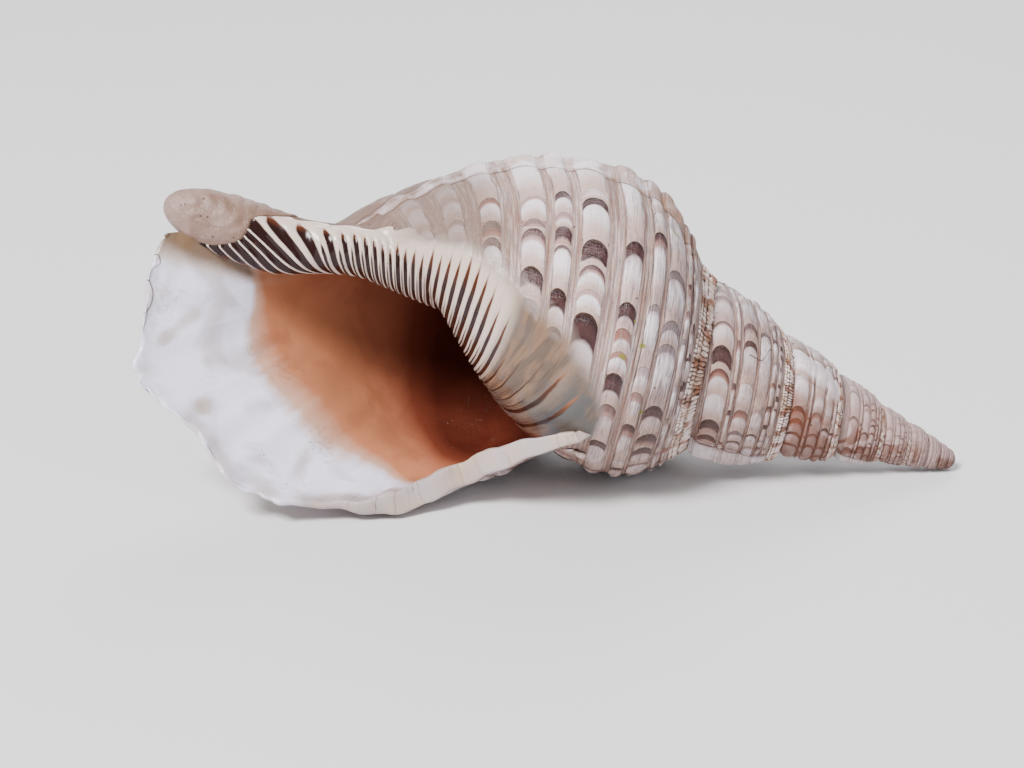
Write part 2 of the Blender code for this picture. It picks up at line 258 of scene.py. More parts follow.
    def whorl_radius(self, growth: Array, station: Array, sink: float = 0.0,
                     ribbed: bool = True) -> Array:
        """Radius of the whorl that grew at an angle, let down onto the whorl before it at the suture.

        A rib is flat with a rounded middle, and uneven along its length.

        Args:
            growth: growth angles.
            station: stations along the axis.
            sink: how far below the whorl before it the suture lies.
            ribbed: with the spiral ribs.

        Returns:
            Radii in metres.
        """
        scale = self.scale(growth)
        seam = self.suture(growth)
        ratio = station / scale
        before = self.scale(growth - 360.0)
        anchor = before * self.outline(growth - 360.0, seam / before)
        free = scale * self.outline(growth, seam / scale)
        settle = np.exp(-np.maximum(ratio - seam / scale, 0.0) / self.settle_length)
        radius = scale * self.outline(growth, ratio) + (anchor - sink - free) * settle
        if ribbed:
            number, across, stand = self.rib_place(growth, ratio)
            stand = stand * (0.55 + 0.70 * np.clip(1.0 - across ** 2, 0.0, 1.0))
            uneven = 1.0 + 0.30 * waves(growth / 17.0, number * 2.3, 31, 5)
            uneven = uneven + np.where(number < 3, 0.45, 0.10) * waves(growth / 3.4, number * 4.0, 33, 4)
            size = (scale / self.lip_scale) ** 0.7
            radius = radius + self.rib_height * size * stand * uneven
            radius = radius + 0.0003 * size * waves(growth / 11.0, ratio * 9.0, 32, 7)
        return radius

    def past_varix(self, growth: Array, ratio: Array, place: float) -> Array:
        """Degrees past an old lip, which lags behind its own angle near the shoulder.

        The lips of the spire lie further on and are rolled more broadly, so their degrees are stretched.
        """
        past = growth - place - curve(self.lip_lag, 1, ratio)
        return past if place == self.first_varix else (past - self.old_lip_lead) / self.old_lip_stretch

    def varix_shape(self, past: Array) -> Array:
        """An old lip across the growth: a round ridge with a fine step behind it."""
        return (bump_at(past, 0.0, self.varix_half_width) - 0.16 * bump_at(past, -10.5, 0.9)
                - 0.15 * bump_at(past, 6.0, 0.8)
                + 0.07 * smooth_step(-16.0, -11.0, past) * (1.0 - smooth_step(-10.5, -6.0, past)))

    def pillar_radius(self, station: Array, bearing: Array) -> Array:
        """Radius of the columella and the tongue: an ellipse that narrows to the tongue's round end.

        Args:
            station: stations along the axis.
            bearing: bearings round it.

        Returns:
            Radii in metres.
        """
        share = smooth_step(0.285, 0.312, station)
        wide = self.pillar + (self.tongue_half_width - self.pillar) * share
        thin = self.pillar + (self.tongue_half_thickness - self.pillar) * share
        end = np.clip((station - 0.322) / (self.tongue_end - 0.322), 0.0, 1.0)
        turn = np.radians(bearing - self.tongue_bearing)
        oval = 1.0 / np.sqrt((np.cos(turn) / wide) ** 2 + (np.sin(turn) / thin) ** 2)
        return oval * np.sqrt(1.0 - end ** 2.3)

    def newest_at(self, bearing: Array) -> Array:
        """Growth angle of the closed shell's newest whorl at a bearing."""
        newest = (bearing - self.lip_bearing) % 360.0 - 360.0
        return np.where(newest > self.first_varix, newest - 360.0, newest)

    def newest_growth(self, station: Array, bearing: Array) -> Array:
        """Growth angle of the newest whorl of the closed shell that reaches a station and bearing.

        Args:
            station: stations along the axis.
            bearing: bearings round it.

        Returns:
            Growth angles, of one whorl too many where none reaches.
        """
        newest = self.newest_at(bearing)
        growth = newest - 360.0 * self.most_whorls
        for back in reversed(range(self.most_whorls)):
            here = newest - 360.0 * back
            growth = np.where(station >= self.suture(here) - 1e-9, here, growth)
        return growth

    def solid_radius(self, station: Array, bearing: Array, ribbed: bool = True) -> Array:
        """Radius of the closed shell as it stood at its newest old lip.

        The newest whorl that reaches a station sets the radius. The old lips of the spire lose their
        ribs, and the newest lip falls away to the whorl beyond it. Grooves are cut along the seams, the
        old lips are added as low ridges, and the larger of whorl and columella wins, rounded over. The
        apex is worn round.

        Args:
            station: stations along the axis.
            bearing: bearings round it.
            ribbed: with the spiral ribs.

        Returns:
            Radii in metres.
        """
        newest = self.newest_at(bearing)
        growth = self.newest_growth(station, bearing)
        reached = growth > newest - 360.0 * (self.most_whorls - 0.5)
        radius = self.whorl_radius(growth, station, 0.0, ribbed)
        radius = np.where(reached, radius, self.suture_ratio * station)
        growth = np.where(reached, growth, newest)
        ratio = station / self.scale(growth)
        if ribbed:
            lips = sum(bump_at(self.past_varix(growth, ratio, place), 1.5, 6.5)
                       for place in self.varices[1:])
            plain = self.whorl_radius(growth, station, 0.0, False)
            smoothed = (plain - radius) * 0.85 * np.minimum(lips, 1.0)
            radius = radius + np.where(reached, smoothed, 0.0)
        ahead = newest + 360.0 - self.first_varix
        at_varix = np.full_like(station, self.first_varix)
        filled = self.whorl_radius(at_varix, station, 0.0, ribbed)
        open_to = self.suture(at_varix) + 0.002
        falls = 1.0 - smooth_step(2.0, 24.0, ahead)
        ramp = np.where((ahead > 0.0) & (station > open_to), falls, 0.0)
        radius = radius + np.maximum(filled - radius, 0.0) * ramp
        scale = self.scale(growth)
        above = bump_at(station, self.suture(growth), self.suture_half_width * scale)
        below = bump_at(station, self.suture(growth + 360.0), self.suture_half_width * scale)
        newest_whorl = growth + 360.0 > self.first_varix
        depth = self.suture_depth + self.spire_suture_depth * (1.0 - smooth_step(-620.0, -480.0, growth))
        radius = radius - depth * scale * np.where(newest_whorl, above, np.maximum(above, below))
        ridge = np.zeros_like(station)
        for place, size in zip(self.varices, self.varix_sizes):
            shape = self.varix_shape(self.past_varix(growth, ratio, place))
            low = 0.0 if place == self.first_varix else 0.55 * (1.0 - smooth_step(1.02, 1.28, ratio))
            ridge = ridge + self.varix_height * size * shape * (1.0 - low)
        front = self.varix_shape(ahead - curve(self.lip_lag, 1, station / self.scale(self.first_varix)))
        front = front * smooth_step(0.0, 0.008, station - open_to)
        ridge = np.where(reached, ridge + self.varix_height * front, 0.0)
        radius = radius + ridge * (1.0 - smooth_step(0.240, 0.270, station))
        pillar = self.pillar_radius(station, bearing)
        share = np.clip(0.5 + 0.5 * (radius - pillar) / self.pillar_blend, 0.0, 1.0)
        rounded = pillar + (radius - pillar) * share + self.pillar_blend * share * (1.0 - share)
        radius = np.where(station > 0.150, rounded, radius)
        radius = np.where(station > self.tongue_end - 0.040, pillar, radius)
        past_apex = np.maximum(station - self.apex_station, 0.0)
        tip = np.sqrt(1.0 - np.exp(-past_apex / self.tip_round))
        return radius * tip + curve(self.worn_tip, 1, station)

    def points(self, station: Array, radius: Array, bearing: Array) -> Array:
        """World points: along the axis, out by the radius at the bearing, then pitched and rolled.

        Args:
            station: stations along the axis.
            radius: radii.
            bearing: bearings round the axis.

        Returns:
            Points, with the last axis for x, y and z.
        """
        turn = np.radians(bearing)
        lean = math.radians(self.tongue_bearing)
        shift = self.tongue_shift * smooth_step(0.268, 0.312, station)
        across = radius * np.cos(turn) + shift * math.cos(lean)
        above = radius * np.sin(turn) + shift * math.sin(lean)
        toward = across * math.cos(self.roll) - above * math.sin(self.roll)
        rise = across * math.sin(self.roll) + above * math.cos(self.roll)
        return np.stack([
            self.apex[0] - station * math.cos(self.pitch) + rise * math.sin(self.pitch),
            self.apex[1] - toward,
            self.apex[2] + station * math.sin(self.pitch) + rise * math.cos(self.pitch),
        ], axis=-1)


@dataclass(frozen=True)
class Flare:
    """The last half turn: how the sheet leaves the spiral to make the wide mouth."""

    spiral: Spiral
    # place along the growing edge, how far it is flared forward, and outward
    lip: tuple = (
        (0.000, 0.0010, 0.0010), (0.030, 0.0006, 0.0125), (0.070, 0.0015, 0.0150),
        (0.120, 0.0050, 0.0120), (0.170, 0.0083, 0.0098), (0.215, 0.0094, 0.0108),
        (0.315, 0.0091, 0.0203), (0.387, 0.0120, 0.0253), (0.459, 0.0152, 0.0320),
        (0.520, 0.0185, 0.0363), (0.605, 0.0215, 0.0300), (0.657, 0.0225, 0.0266),
        (0.733, 0.0273, 0.0280), (0.778, 0.0305, 0.0295), (0.858, 0.0225, 0.0206),
        (0.930, 0.0150, 0.0130), (0.976, 0.0095, 0.0082), (1.000, 0.0033, 0.0060),
    )
    span: float = 52.0
    power: float = 2.7
    hollow: float = 0.0035
    fuller: float = 0.0030
    rest_flat: float = 0.0012
    reach: float = 33.0
    wall: float = 0.0042
    margin: float = 0.0055
    scallop: float = 0.0005
    scallops: int = 17
    # place along the growing edge, and how many degrees further the worn lip reaches there
    worn_edge: tuple = (
        (0.400, 0.0), (0.428, -0.2), (0.453, 0.6), (0.477, 0.85), (0.504, 0.2), (0.527, -0.35),
        (0.548, 0.3), (0.560, 0.7), (0.577, 1.0), (0.596, 0.4), (0.615, 0.15), (0.638, 0.4),
        (0.658, -0.2), (0.676, 0.15), (0.701, 0.4), (0.726, 0.1), (0.737, 0.45), (0.745, 0.35),
        (0.754, 0.8), (0.764, 0.25), (0.7715, -0.35), (0.780, -0.9), (0.789, -0.5), (0.794, -0.15),
        (0.800, -0.15), (0.808, -0.5), (0.818, -1.0), (0.836, -0.85), (0.849, -0.45), (0.862, -0.5),
        (0.878, -0.45), (0.901, -0.35), (0.918, 0.25), (0.931, 0.5), (0.938, 0.1), (0.946, -0.45),
        (0.955, -0.2), (0.969, -0.35), (0.987, -0.4), (0.992, 1.6), (1.000, 2.4),
    )

    @property
    def start(self) -> float:
        """Growth angle at which the sheet begins, under the newest old lip."""
        return self.spiral.first_varix - 12.0

    def lip_growth(self, place: Array) -> Array:
        """Growth angle of the lip's edge: it runs on along the suture at its top end."""
        return self.reach * (1.0 - smooth_step(0.0, 0.22, place))

    def edge_growth(self, place: Array) -> Array:
        """Growth angle at which the lip ends: its law of growth, worn to cusps and shallow bays.

        Args:
            place: places along the growing edge.

        Returns:
            Growth angles.
        """
        left = smooth_step(0.40, 0.45, place)
        low = smooth_step(0.06, 0.14, place) * (1.0 - left)
        fine = 0.10 * waves(place * 70.0, 0.0, 72, 4)
        swell = 0.35 * waves(place * 22.0, 0.0, 73, 4)
        return self.lip_growth(place) + left * (curve(self.worn_edge, 1, place) + fine) + low * swell

    def arc(self) -> tuple[Array, Array]:
        """The outline measured along its length.

        Returns:
            Station ratios, and the length of outline up to each.
        """
        ratio = np.linspace(self.spiral.whorl_outline[0][0], self.spiral.outline_end, 400)
        radius = curve(self.spiral.whorl_outline, 1, ratio)
        step = np.hypot(np.diff(ratio), np.diff(radius))
        return ratio, np.concatenate([[0.0], np.cumsum(step)])

    def seam_ratio(self, growth: Array) -> Array:
        """Station ratio at which the sheet starts, just inside the suture."""
        return self.spiral.suture(growth) / self.spiral.scale(growth) - 0.008

    def place_of(self, growth: Array, ratio: Array) -> Array:
        """Place along the growing edge, by length of outline.

        Args:
            growth: growth angles.
            ratio: stations over the scale.

        Returns:
            Places from 0 at the suture to 1 at the tongue.
        """
        ratios, length = self.arc()
        start = np.interp(self.seam_ratio(growth), ratios, length)
        return (np.interp(ratio, ratios, length) - start) / (length[-1] - start)

    def ratio_of(self, growth: Array, place: Array) -> Array:
        """The reverse of place_of.

        Args:
            growth: growth angles.
            place: places along the growing edge.

        Returns:
            Stations over the scale.
        """
        ratios, length = self.arc()
        start = np.interp(self.seam_ratio(growth), ratios, length)
        return np.interp(start + (length[-1] - start) * place, length, ratios)

    def outer(self, growth: Array, place: Array, ribbed: bool = True) -> tuple[Array, Array]:
        """Station and radius of the outer face.

        The whorl's own radius, plus a flare that grows with a power of the nearness to the lip, small
        scallops at the edge, a hollow behind the lip, a fuller back and a flat where it rests.

        Args:
            growth: growth angles.
            place: places along the growing edge.
            ribbed: with the spiral ribs.

        Returns:
            Stations and radii in metres.
        """
        spiral = self.spiral
        station = self.ratio_of(growth, place) * spiral.scale(growth)
        late = np.clip((growth - self.lip_growth(place) + self.span) / self.span, 0.0, 1.2)
        radius = spiral.whorl_radius(growth, station, 0.002, False)
        if ribbed:
            relief = spiral.whorl_radius(growth, station, 0.002) - radius
            radius = radius + relief * (1.0 - 0.85 * smooth_step(0.80, 1.0, late))
        flare = late ** self.power
        outward = curve(self.lip, 2, place) * flare
        wave = np.sin(2.0 * np.pi * self.scallops * place) * smooth_step(0.05, 0.2, place)
        outward = outward + self.scallop * late ** 6 * wave
        middle = smooth_step(0.12, 0.30, place) * (1.0 - smooth_step(0.60, 0.85, place))
        back = smooth_step(0.0, 0.1, place) * (1.0 - smooth_step(0.5, 0.8, place))
        overlap = 0.003 * (1.0 - smooth_step(self.start, self.start + 10.0, growth))
        radius = radius + outward - overlap - self.hollow * middle * bump_at(growth, -21.0, 13.0)
        radius = radius + self.fuller * back * bump_at(growth, -60.0, 15.0)
        resting = smooth_step(0.15, 0.23, place) * (1.0 - smooth_step(0.34, 0.44, place))
        radius = radius - self.rest_flat * resting * bump_at(growth, -39.0, 12.0)
        return station + curve(self.lip, 1, place) * flare, radius

    def thickness(self, growth: Array, place: Array) -> Array:
        """Wall thickness: broad at the lip's margin near the suture, thin at the free edge.

        Args:
            growth: growth angles.
            place: places along the growing edge.

        Returns:
            Thickness in metres.
        """
        past = growth - self.lip_growth(place)
        margin = (1.0 - smooth_step(0.30, 0.42, place)) * smooth_step(0.0, 0.17, place)
        thin = 0.58 * self.wall * smooth_step(0.34, 0.50, place) * smooth_step(-16.0, -1.0, past)
        return self.wall + self.margin * margin * smooth_step(-14.0, -2.0, past) - thin


# Meshes

def surface(name: str, points: Array, attributes: dict[str, Array], flip: bool = False,
            close_rows: bool = False) -> bpy.types.Object:
    """Mesh object from a grid of points.

    Args:
        name: the object's name.
        points: grid of shape (columns, rows, 3).
        attributes: arrays over the same grid, of three numbers a point.
        flip: turn the faces over.
        close_rows: join the last column to the first.

    Returns:
        The smooth-shaded object, with one face for each cell of the grid.
    """
    n, m = points.shape[:2]
    index = np.arange(n * m).reshape(n, m)
    ahead = np.roll(index, -1, axis=0)
    if not close_rows:
        index, ahead = index[:-1], ahead[:-1]
    quads = np.stack([index[:, :-1], index[:, 1:], ahead[:, 1:], ahead[:, :-1]], axis=-1).reshape(-1, 4)
    if flip:
        quads = quads[:, ::-1]
    mesh = bpy.data.meshes.new(name)
    mesh.vertices.add(n * m)
    mesh.vertices.foreach_set("co", points.reshape(-1).astype(np.float32))
    mesh.loops.add(quads.size)
    mesh.loops.foreach_set("vertex_index", quads.reshape(-1).astype(np.int32))
    mesh.polygons.add(len(quads))
    mesh.polygons.foreach_set("loop_start", np.arange(0, quads.size, 4, dtype=np.int32))
    mesh.polygons.foreach_set("use_smooth", np.ones(len(quads), dtype=bool))
    mesh.update(calc_edges=True)
    for key, values in attributes.items():
        layer = mesh.attributes.new(key, "FLOAT_VECTOR", "POINT")
        layer.data.foreach_set("vector", values.reshape(-1).astype(np.float32))
    mesh.validate()
    item = bpy.data.objects.new(name, mesh)
    bpy.context.scene.collection.objects.link(item)
    return item


def joined_poles(item: bpy.types.Object) -> bpy.types.Object:
    """Merges points that lie on each other, so that seams and poles are closed.

    Args:
        item: the object.

    Returns:
        The same object.
    """
    body = bmesh.new()
    body.from_mesh(item.data)
    bmesh.ops.remove_doubles(body, verts=body.verts, dist=MERGE_REACH)
    bmesh.ops.dissolve_degenerate(body, edges=body.edges, dist=MERGE_REACH * 0.1)
    body.to_mesh(item.data)
    body.free()
    return item


# Node sheets, with arithmetic on what they carry

@dataclass(frozen=True)
class Field:
    """A number, vector or colour that varies over a surface: one output of a node."""

    sheet: "NodeSheet"
    socket: bpy.types.NodeSocket

    def __add__(self, other: "Field | float") -> "Field":
        """Sum."""
        return self.sheet.math("ADD", self, other)

    def __sub__(self, other: "Field | float") -> "Field":
        """Difference."""
        return self.sheet.math("SUBTRACT", self, other)

    def __rsub__(self, other: float) -> "Field":
        """Difference from a number."""
        return self.sheet.math("SUBTRACT", other, self)

    def __mul__(self, other: "Field | float") -> "Field":
        """Product."""
        return self.sheet.math("MULTIPLY", self, other)

    def __truediv__(self, other: "Field | float") -> "Field":
        """Quotient."""
        return self.sheet.math("DIVIDE", self, other)


@dataclass
class NodeSheet:
    """Builds one material's nodes, and hands on what comes out of them as fields."""

    material: bpy.types.Material

    def plug(self, socket: bpy.types.NodeSocket, value: "Field | float | tuple") -> None:
        """Links a field to a socket, or sets the socket.

        Args:
            socket: an input.
            value: a field, a number or a colour.
        """
        if isinstance(value, Field):
            self.material.node_tree.links.new(value.socket, socket)
        elif isinstance(value, tuple) and len(value) == 3 and len(socket.default_value) == 4:
            socket.default_value = (*value, 1.0)
        else:
            socket.default_value = value

    def made(self, kind: str, inputs: dict, output: int | str = 0, **settings: object) -> Field:
        """A new node, set and wired.

        Args:
            kind: the node's type.
            inputs: what goes into its inputs, by name or number.
            output: the output that is read.
            settings: some of its settings, by name.

        Returns:
            What comes out of it.
        """
        node = self.material.node_tree.nodes.new(kind)
        for key, value in settings.items():
            setattr(node, key, value)
        for key, value in inputs.items():
            self.plug(node.inputs[key], value)
        return Field(self, node.outputs[output])

    def math(self, operation: str, first: "Field | float", second: "Field | float" = 0.0,
             clamp: bool = False) -> Field:
        """One Math node, kept from 0 to 1 if clamped."""
        return self.made("ShaderNodeMath", {0: first, 1: second}, operation=operation, use_clamp=clamp)

    def attribute(self, name: str) -> tuple[Field, Field, Field]:
        """The three numbers of a mesh attribute."""
        read = self.made("ShaderNodeAttribute", {}, "Vector", attribute_name=name)
        split = self.made("ShaderNodeSeparateXYZ", {0: read})
        return tuple(Field(self, output) for output in split.socket.node.outputs)

    def object_place(self) -> Field:
        """Place on the object, in metres."""
        return self.made("ShaderNodeTexCoord", {}, "Object")

    def join(self, x: "Field | float", y: "Field | float", z: "Field | float") -> Field:
        """A vector from three numbers."""
        return self.made("ShaderNodeCombineXYZ", {0: x, 1: y, 2: z})

    def smooth(self, low: "Field | float", high: "Field | float", value: Field) -> Field:
        """Rises from 0 at low to 1 at high, flat at both ends; it falls if low is above high."""
        inputs = {"Value": value, "From Min": low, "From Max": high}
        return self.made("ShaderNodeMapRange", inputs, interpolation_type="SMOOTHSTEP")

    def band(self, low: float, high: float, soft: float, value: Field) -> Field:
        """1 between low and high, and 0 outside, over a soft edge."""
        rise = self.smooth(low - soft, low + soft, value)
        return rise * (1.0 - self.smooth(high - soft, high + soft, value))

    def noise(self, at: Field, scale: float, detail: float = 3.0, rough: float = 0.5,
              twist: float = 0.0) -> Field:
        """Noise about 0.5: how fine it is, its finer layers, their strength, and how far it is bent."""
        inputs = {"Vector": at, "Scale": scale, "Detail": detail, "Roughness": rough, "Distortion": twist}
        return self.made("ShaderNodeTexNoise", inputs, "Fac")

    def cells(self, at: Field, scale: float) -> Field:
        """Distance to the nearest of scattered points, in cells."""
        return self.made("ShaderNodeTexVoronoi", {"Vector": at, "Scale": scale}, "Distance")

    def over(self, colour: "Field | tuple", *coats: tuple) -> Field:
        """Lays coats over a colour, the first one lowest.

        Args:
            colour: the ground.
            coats: each coat's share from 0 to 1, and its colour.

        Returns:
            The colour seen from above.
        """
        for share, tint in coats:
            inputs = {"Factor": share, 6: colour, 7: tint}
            colour = self.made("ShaderNodeMix", inputs, 2, data_type="RGBA")
        return colour

    def ramp(self, value: Field, stops: tuple) -> Field:
        """A colour read from a scale.

        Args:
            value: place on the scale.
            stops: places and colours, in order.

        Returns:
            The colour.
        """
        read = self.made("ShaderNodeValToRGB", {0: value})
        elements = read.socket.node.color_ramp.elements
        while len(elements) < len(stops):
            elements.new(1.0)
        for element, (place, colour) in zip(elements, stops):
            element.position = place
            element.color = (*colour, 1.0)
        return read

    def relief(self, height: Field, depth: float) -> Field:
        """A normal bent by a height in units of the depth, in metres."""
        return self.made("ShaderNodeBump", {"Strength": 1.0, "Distance": depth, "Height": height})


@dataclass(frozen=True)
class Gloss:
    """What is the same all over a glazed surface."""

    coat: float = 0.10
    coat_roughness: float = 0.14
    ior: float = 1.42
    level: float = 0.34

    def dress(self, sheet: NodeSheet, colour: Field, roughness: Field, normal: Field) -> None:
        """Sets the surface shader of a sheet.

        Args:
            sheet: the material's sheet.
            colour: colour of the surface.
            roughness: its roughness.
            normal: its bent normal.
        """
        shader = sheet.material.node_tree.nodes["Principled BSDF"]
        for name, value in (
            ("Base Color", colour), ("Roughness", roughness), ("Normal", normal), ("Coat Normal", normal),
            ("Coat Weight", self.coat), ("Coat Roughness", self.coat_roughness), ("IOR", self.ior),
            ("Specular IOR Level", self.level),
        ):
            sheet.plug(shader.inputs[name], value)


def new_sheet(name: str) -> NodeSheet:
    """A new material to build nodes in.

    Args:
        name: the material's name.

    Returns:
        Its sheet.
    """
    material = bpy.data.materials.new(name)
    material.use_nodes = True
    return NodeSheet(material)


# The crescent marks on the ribs

@dataclass(frozen=True)
class Mark:
    """One crescent on a rib: the growth angle of its arched edge, its tones, and its length."""

    growth: float
    dark: float
    tan: float
    length: float


@dataclass(frozen=True)
class MarkPattern:
    """Every crescent of the shell: those seen at the front as placed, and the rest by a seeded rule."""

    seed: int = 20
    spacing: tuple = (7.0, 17.0)
    placed: tuple = (
        (5, -225.0, 0.20, 0.50, 2.0), (5, -230.2, 0.60, 0.10, 4.5), (5, -250.6, 0.95, 0.10, 8.0),
        (5, -261.0, 0.45, 0.90, 2.4), (5, -270.4, 0.05, 0.75, 1.6), (5, -279.0, 1.00, 0.30, 12.0),
        (6, -229.0, 0.45, 0.20, 4.0), (6, -240.4, 0.20, 0.70, 2.5), (6, -247.0, 0.85, 0.50, 6.5),
        (6, -255.6, 0.40, 0.50, 1.8), (6, -273.3, 1.00, 0.20, 8.0),
        (7, -232.0, 0.10, 0.80, 1.6), (7, -245.0, 0.30, 0.70, 3.0), (7, -249.5, 0.40, 0.80, 4.5),
        (7, -266.7, 0.55, 0.50, 9.0),
        (8, -230.5, 0.30, 1.00, 3.0), (8, -245.0, 0.70, 1.00, 7.0), (8, -254.9, 0.80, 0.20, 5.0),
        (4, -246.7, 0.50, 0.40, 7.0), (4, -270.4, 0.65, 0.30, 6.0), (4, -279.9, 0.15, 1.00, 3.2),
        (4, -288.5, 0.05, 0.95, 1.8), (4, -296.7, 0.85, 0.20, 8.0), (4, -309.5, 0.35, 0.80, 4.5),
        (3, -267.4, 0.30, 0.40, 3.0), (3, -291.0, 0.20, 0.60, 3.0), (3, -301.3, 0.25, 0.85, 3.0),
        (2, -249.0, 0.35, 0.40, 5.0), (2, -270.4, 0.35, 0.30, 4.0), (2, -279.2, 0.30, 0.40, 4.0),
        (2, -305.9, 0.90, 0.35, 6.0),
        (5, -624.8, 0.85, 0.10, 11.0), (5, -639.5, 0.35, 1.00, 4.0), (5, -656.0, 0.04, 0.20, 1.2),
        (5, -675.0, 1.00, 0.60, 10.0), (5, -690.0, 1.00, 0.50, 7.0),
        (3, -612.9, 0.60, 0.20, 5.0), (3, -642.5, 0.04, 0.10, 1.0), (3, -661.6, 0.30, 1.00, 5.0),
        (3, -679.4, 0.35, 0.30, 4.0), (2, -599.8, 0.40, 0.20, 4.0), (2, -659.0, 0.20, 0.50, 2.0),
        (1, -619.0, 0.30, 0.30, 3.0), (1, -635.0, 0.30, 1.00, 3.0), (1, -653.0, 0.40, 1.00, 4.0),
        (5, -1352.0, 0.30, 0.50, 5.0), (5, -1400.0, 1.00, 0.80, 12.0), (3, -1392.0, 0.80, 1.00, 9.0),
        (5, -942.6, 0.80, 0.50, 6.0), (5, -974.6, 0.60, 0.20, 5.0), (5, -1005.0, 1.00, 0.70, 7.0),
        (5, -1017.0, 1.00, 0.50, 6.0), (3, -1004.0, 0.60, 1.00, 5.0), (2, -1018.0, 0.70, 0.60, 5.0),
    )

    def marks(self, rib: int) -> list[Mark]:
        """The marks of one rib, newest first.

        Args:
            rib: the rib's number.

        Returns:
            Placed marks, with seeded ones wherever no placed mark is near.
        """
        fixed = [Mark(*row[1:]) for row in self.placed if row[0] == rib]
        spans = []
        for low, high, bare in ((-330.0, -200.0, 26.0), (-720.0, -580.0, 9.0), (-1030.0, -930.0, 9.0),
                                (-1420.0, -1340.0, 9.0)):
            group = [m.growth for m in fixed if low < m.growth < high]
            if group:
                spans.append((min(group) - 9.0, max(group) + bare))
        rng = np.random.default_rng(self.seed + 7 * rib)
        found = list(fixed)
        growth = 70.0
        while growth > -3800.0:
            tone = rng.random()
            dark = rng.uniform(0.7, 1.0) if tone < 0.38 else rng.uniform(0.05, 0.45)
            mark = Mark(growth, dark, rng.uniform(0.15, 1.0), rng.uniform(2.0, 4.0) + 4.0 * dark * rng.random())
            if not any(low < growth < high for low, high in spans):
                found.append(mark)
            wide = 1.0 + rng.random() ** 3 * (2.6 if growth < -560.0 else 1.0)
            growth -= rng.uniform(*self.spacing) * wide
        return sorted(found, key=lambda m: -m.growth)

    def lay(self, growth: Array, rib: Array) -> dict[str, Array]:
        """The marks' numbers over a surface.

        A counter rises by one at each mark. Beside it go the distance to the mark below, and the
        tones and length of the mark whose arched edge lies above.

        Args:
            growth: growth angles.
            rib: the rib's number at each point.

        Returns:
            Arrays named count, spacing, dark, tan and length.
        """
        laid = {key: np.zeros_like(growth) for key in ("count", "spacing", "dark", "tan", "length")}
        for number in range(len(Spiral().ribs)):
            here = rib == number
            if not here.any():
                continue
            marks = self.marks(number)[::-1]
            at = np.array([m.growth for m in marks])
            order = np.arange(len(at), dtype=float)
            low, high = at[:-1] + 0.5, at[1:]
            knots = np.stack([low, high], axis=-1).ravel()
            laid["count"][here] = np.interp(growth[here], at, order)
            for key, values in (("spacing", np.diff(at)), ("dark", np.array([m.dark for m in marks])[1:]),
                                ("tan", np.array([m.tan for m in marks])[1:]),
                                ("length", np.array([m.length for m in marks])[1:])):
                laid[key][here] = np.interp(growth[here], knots, np.repeat(values, 2))
        return laid


# Finishes

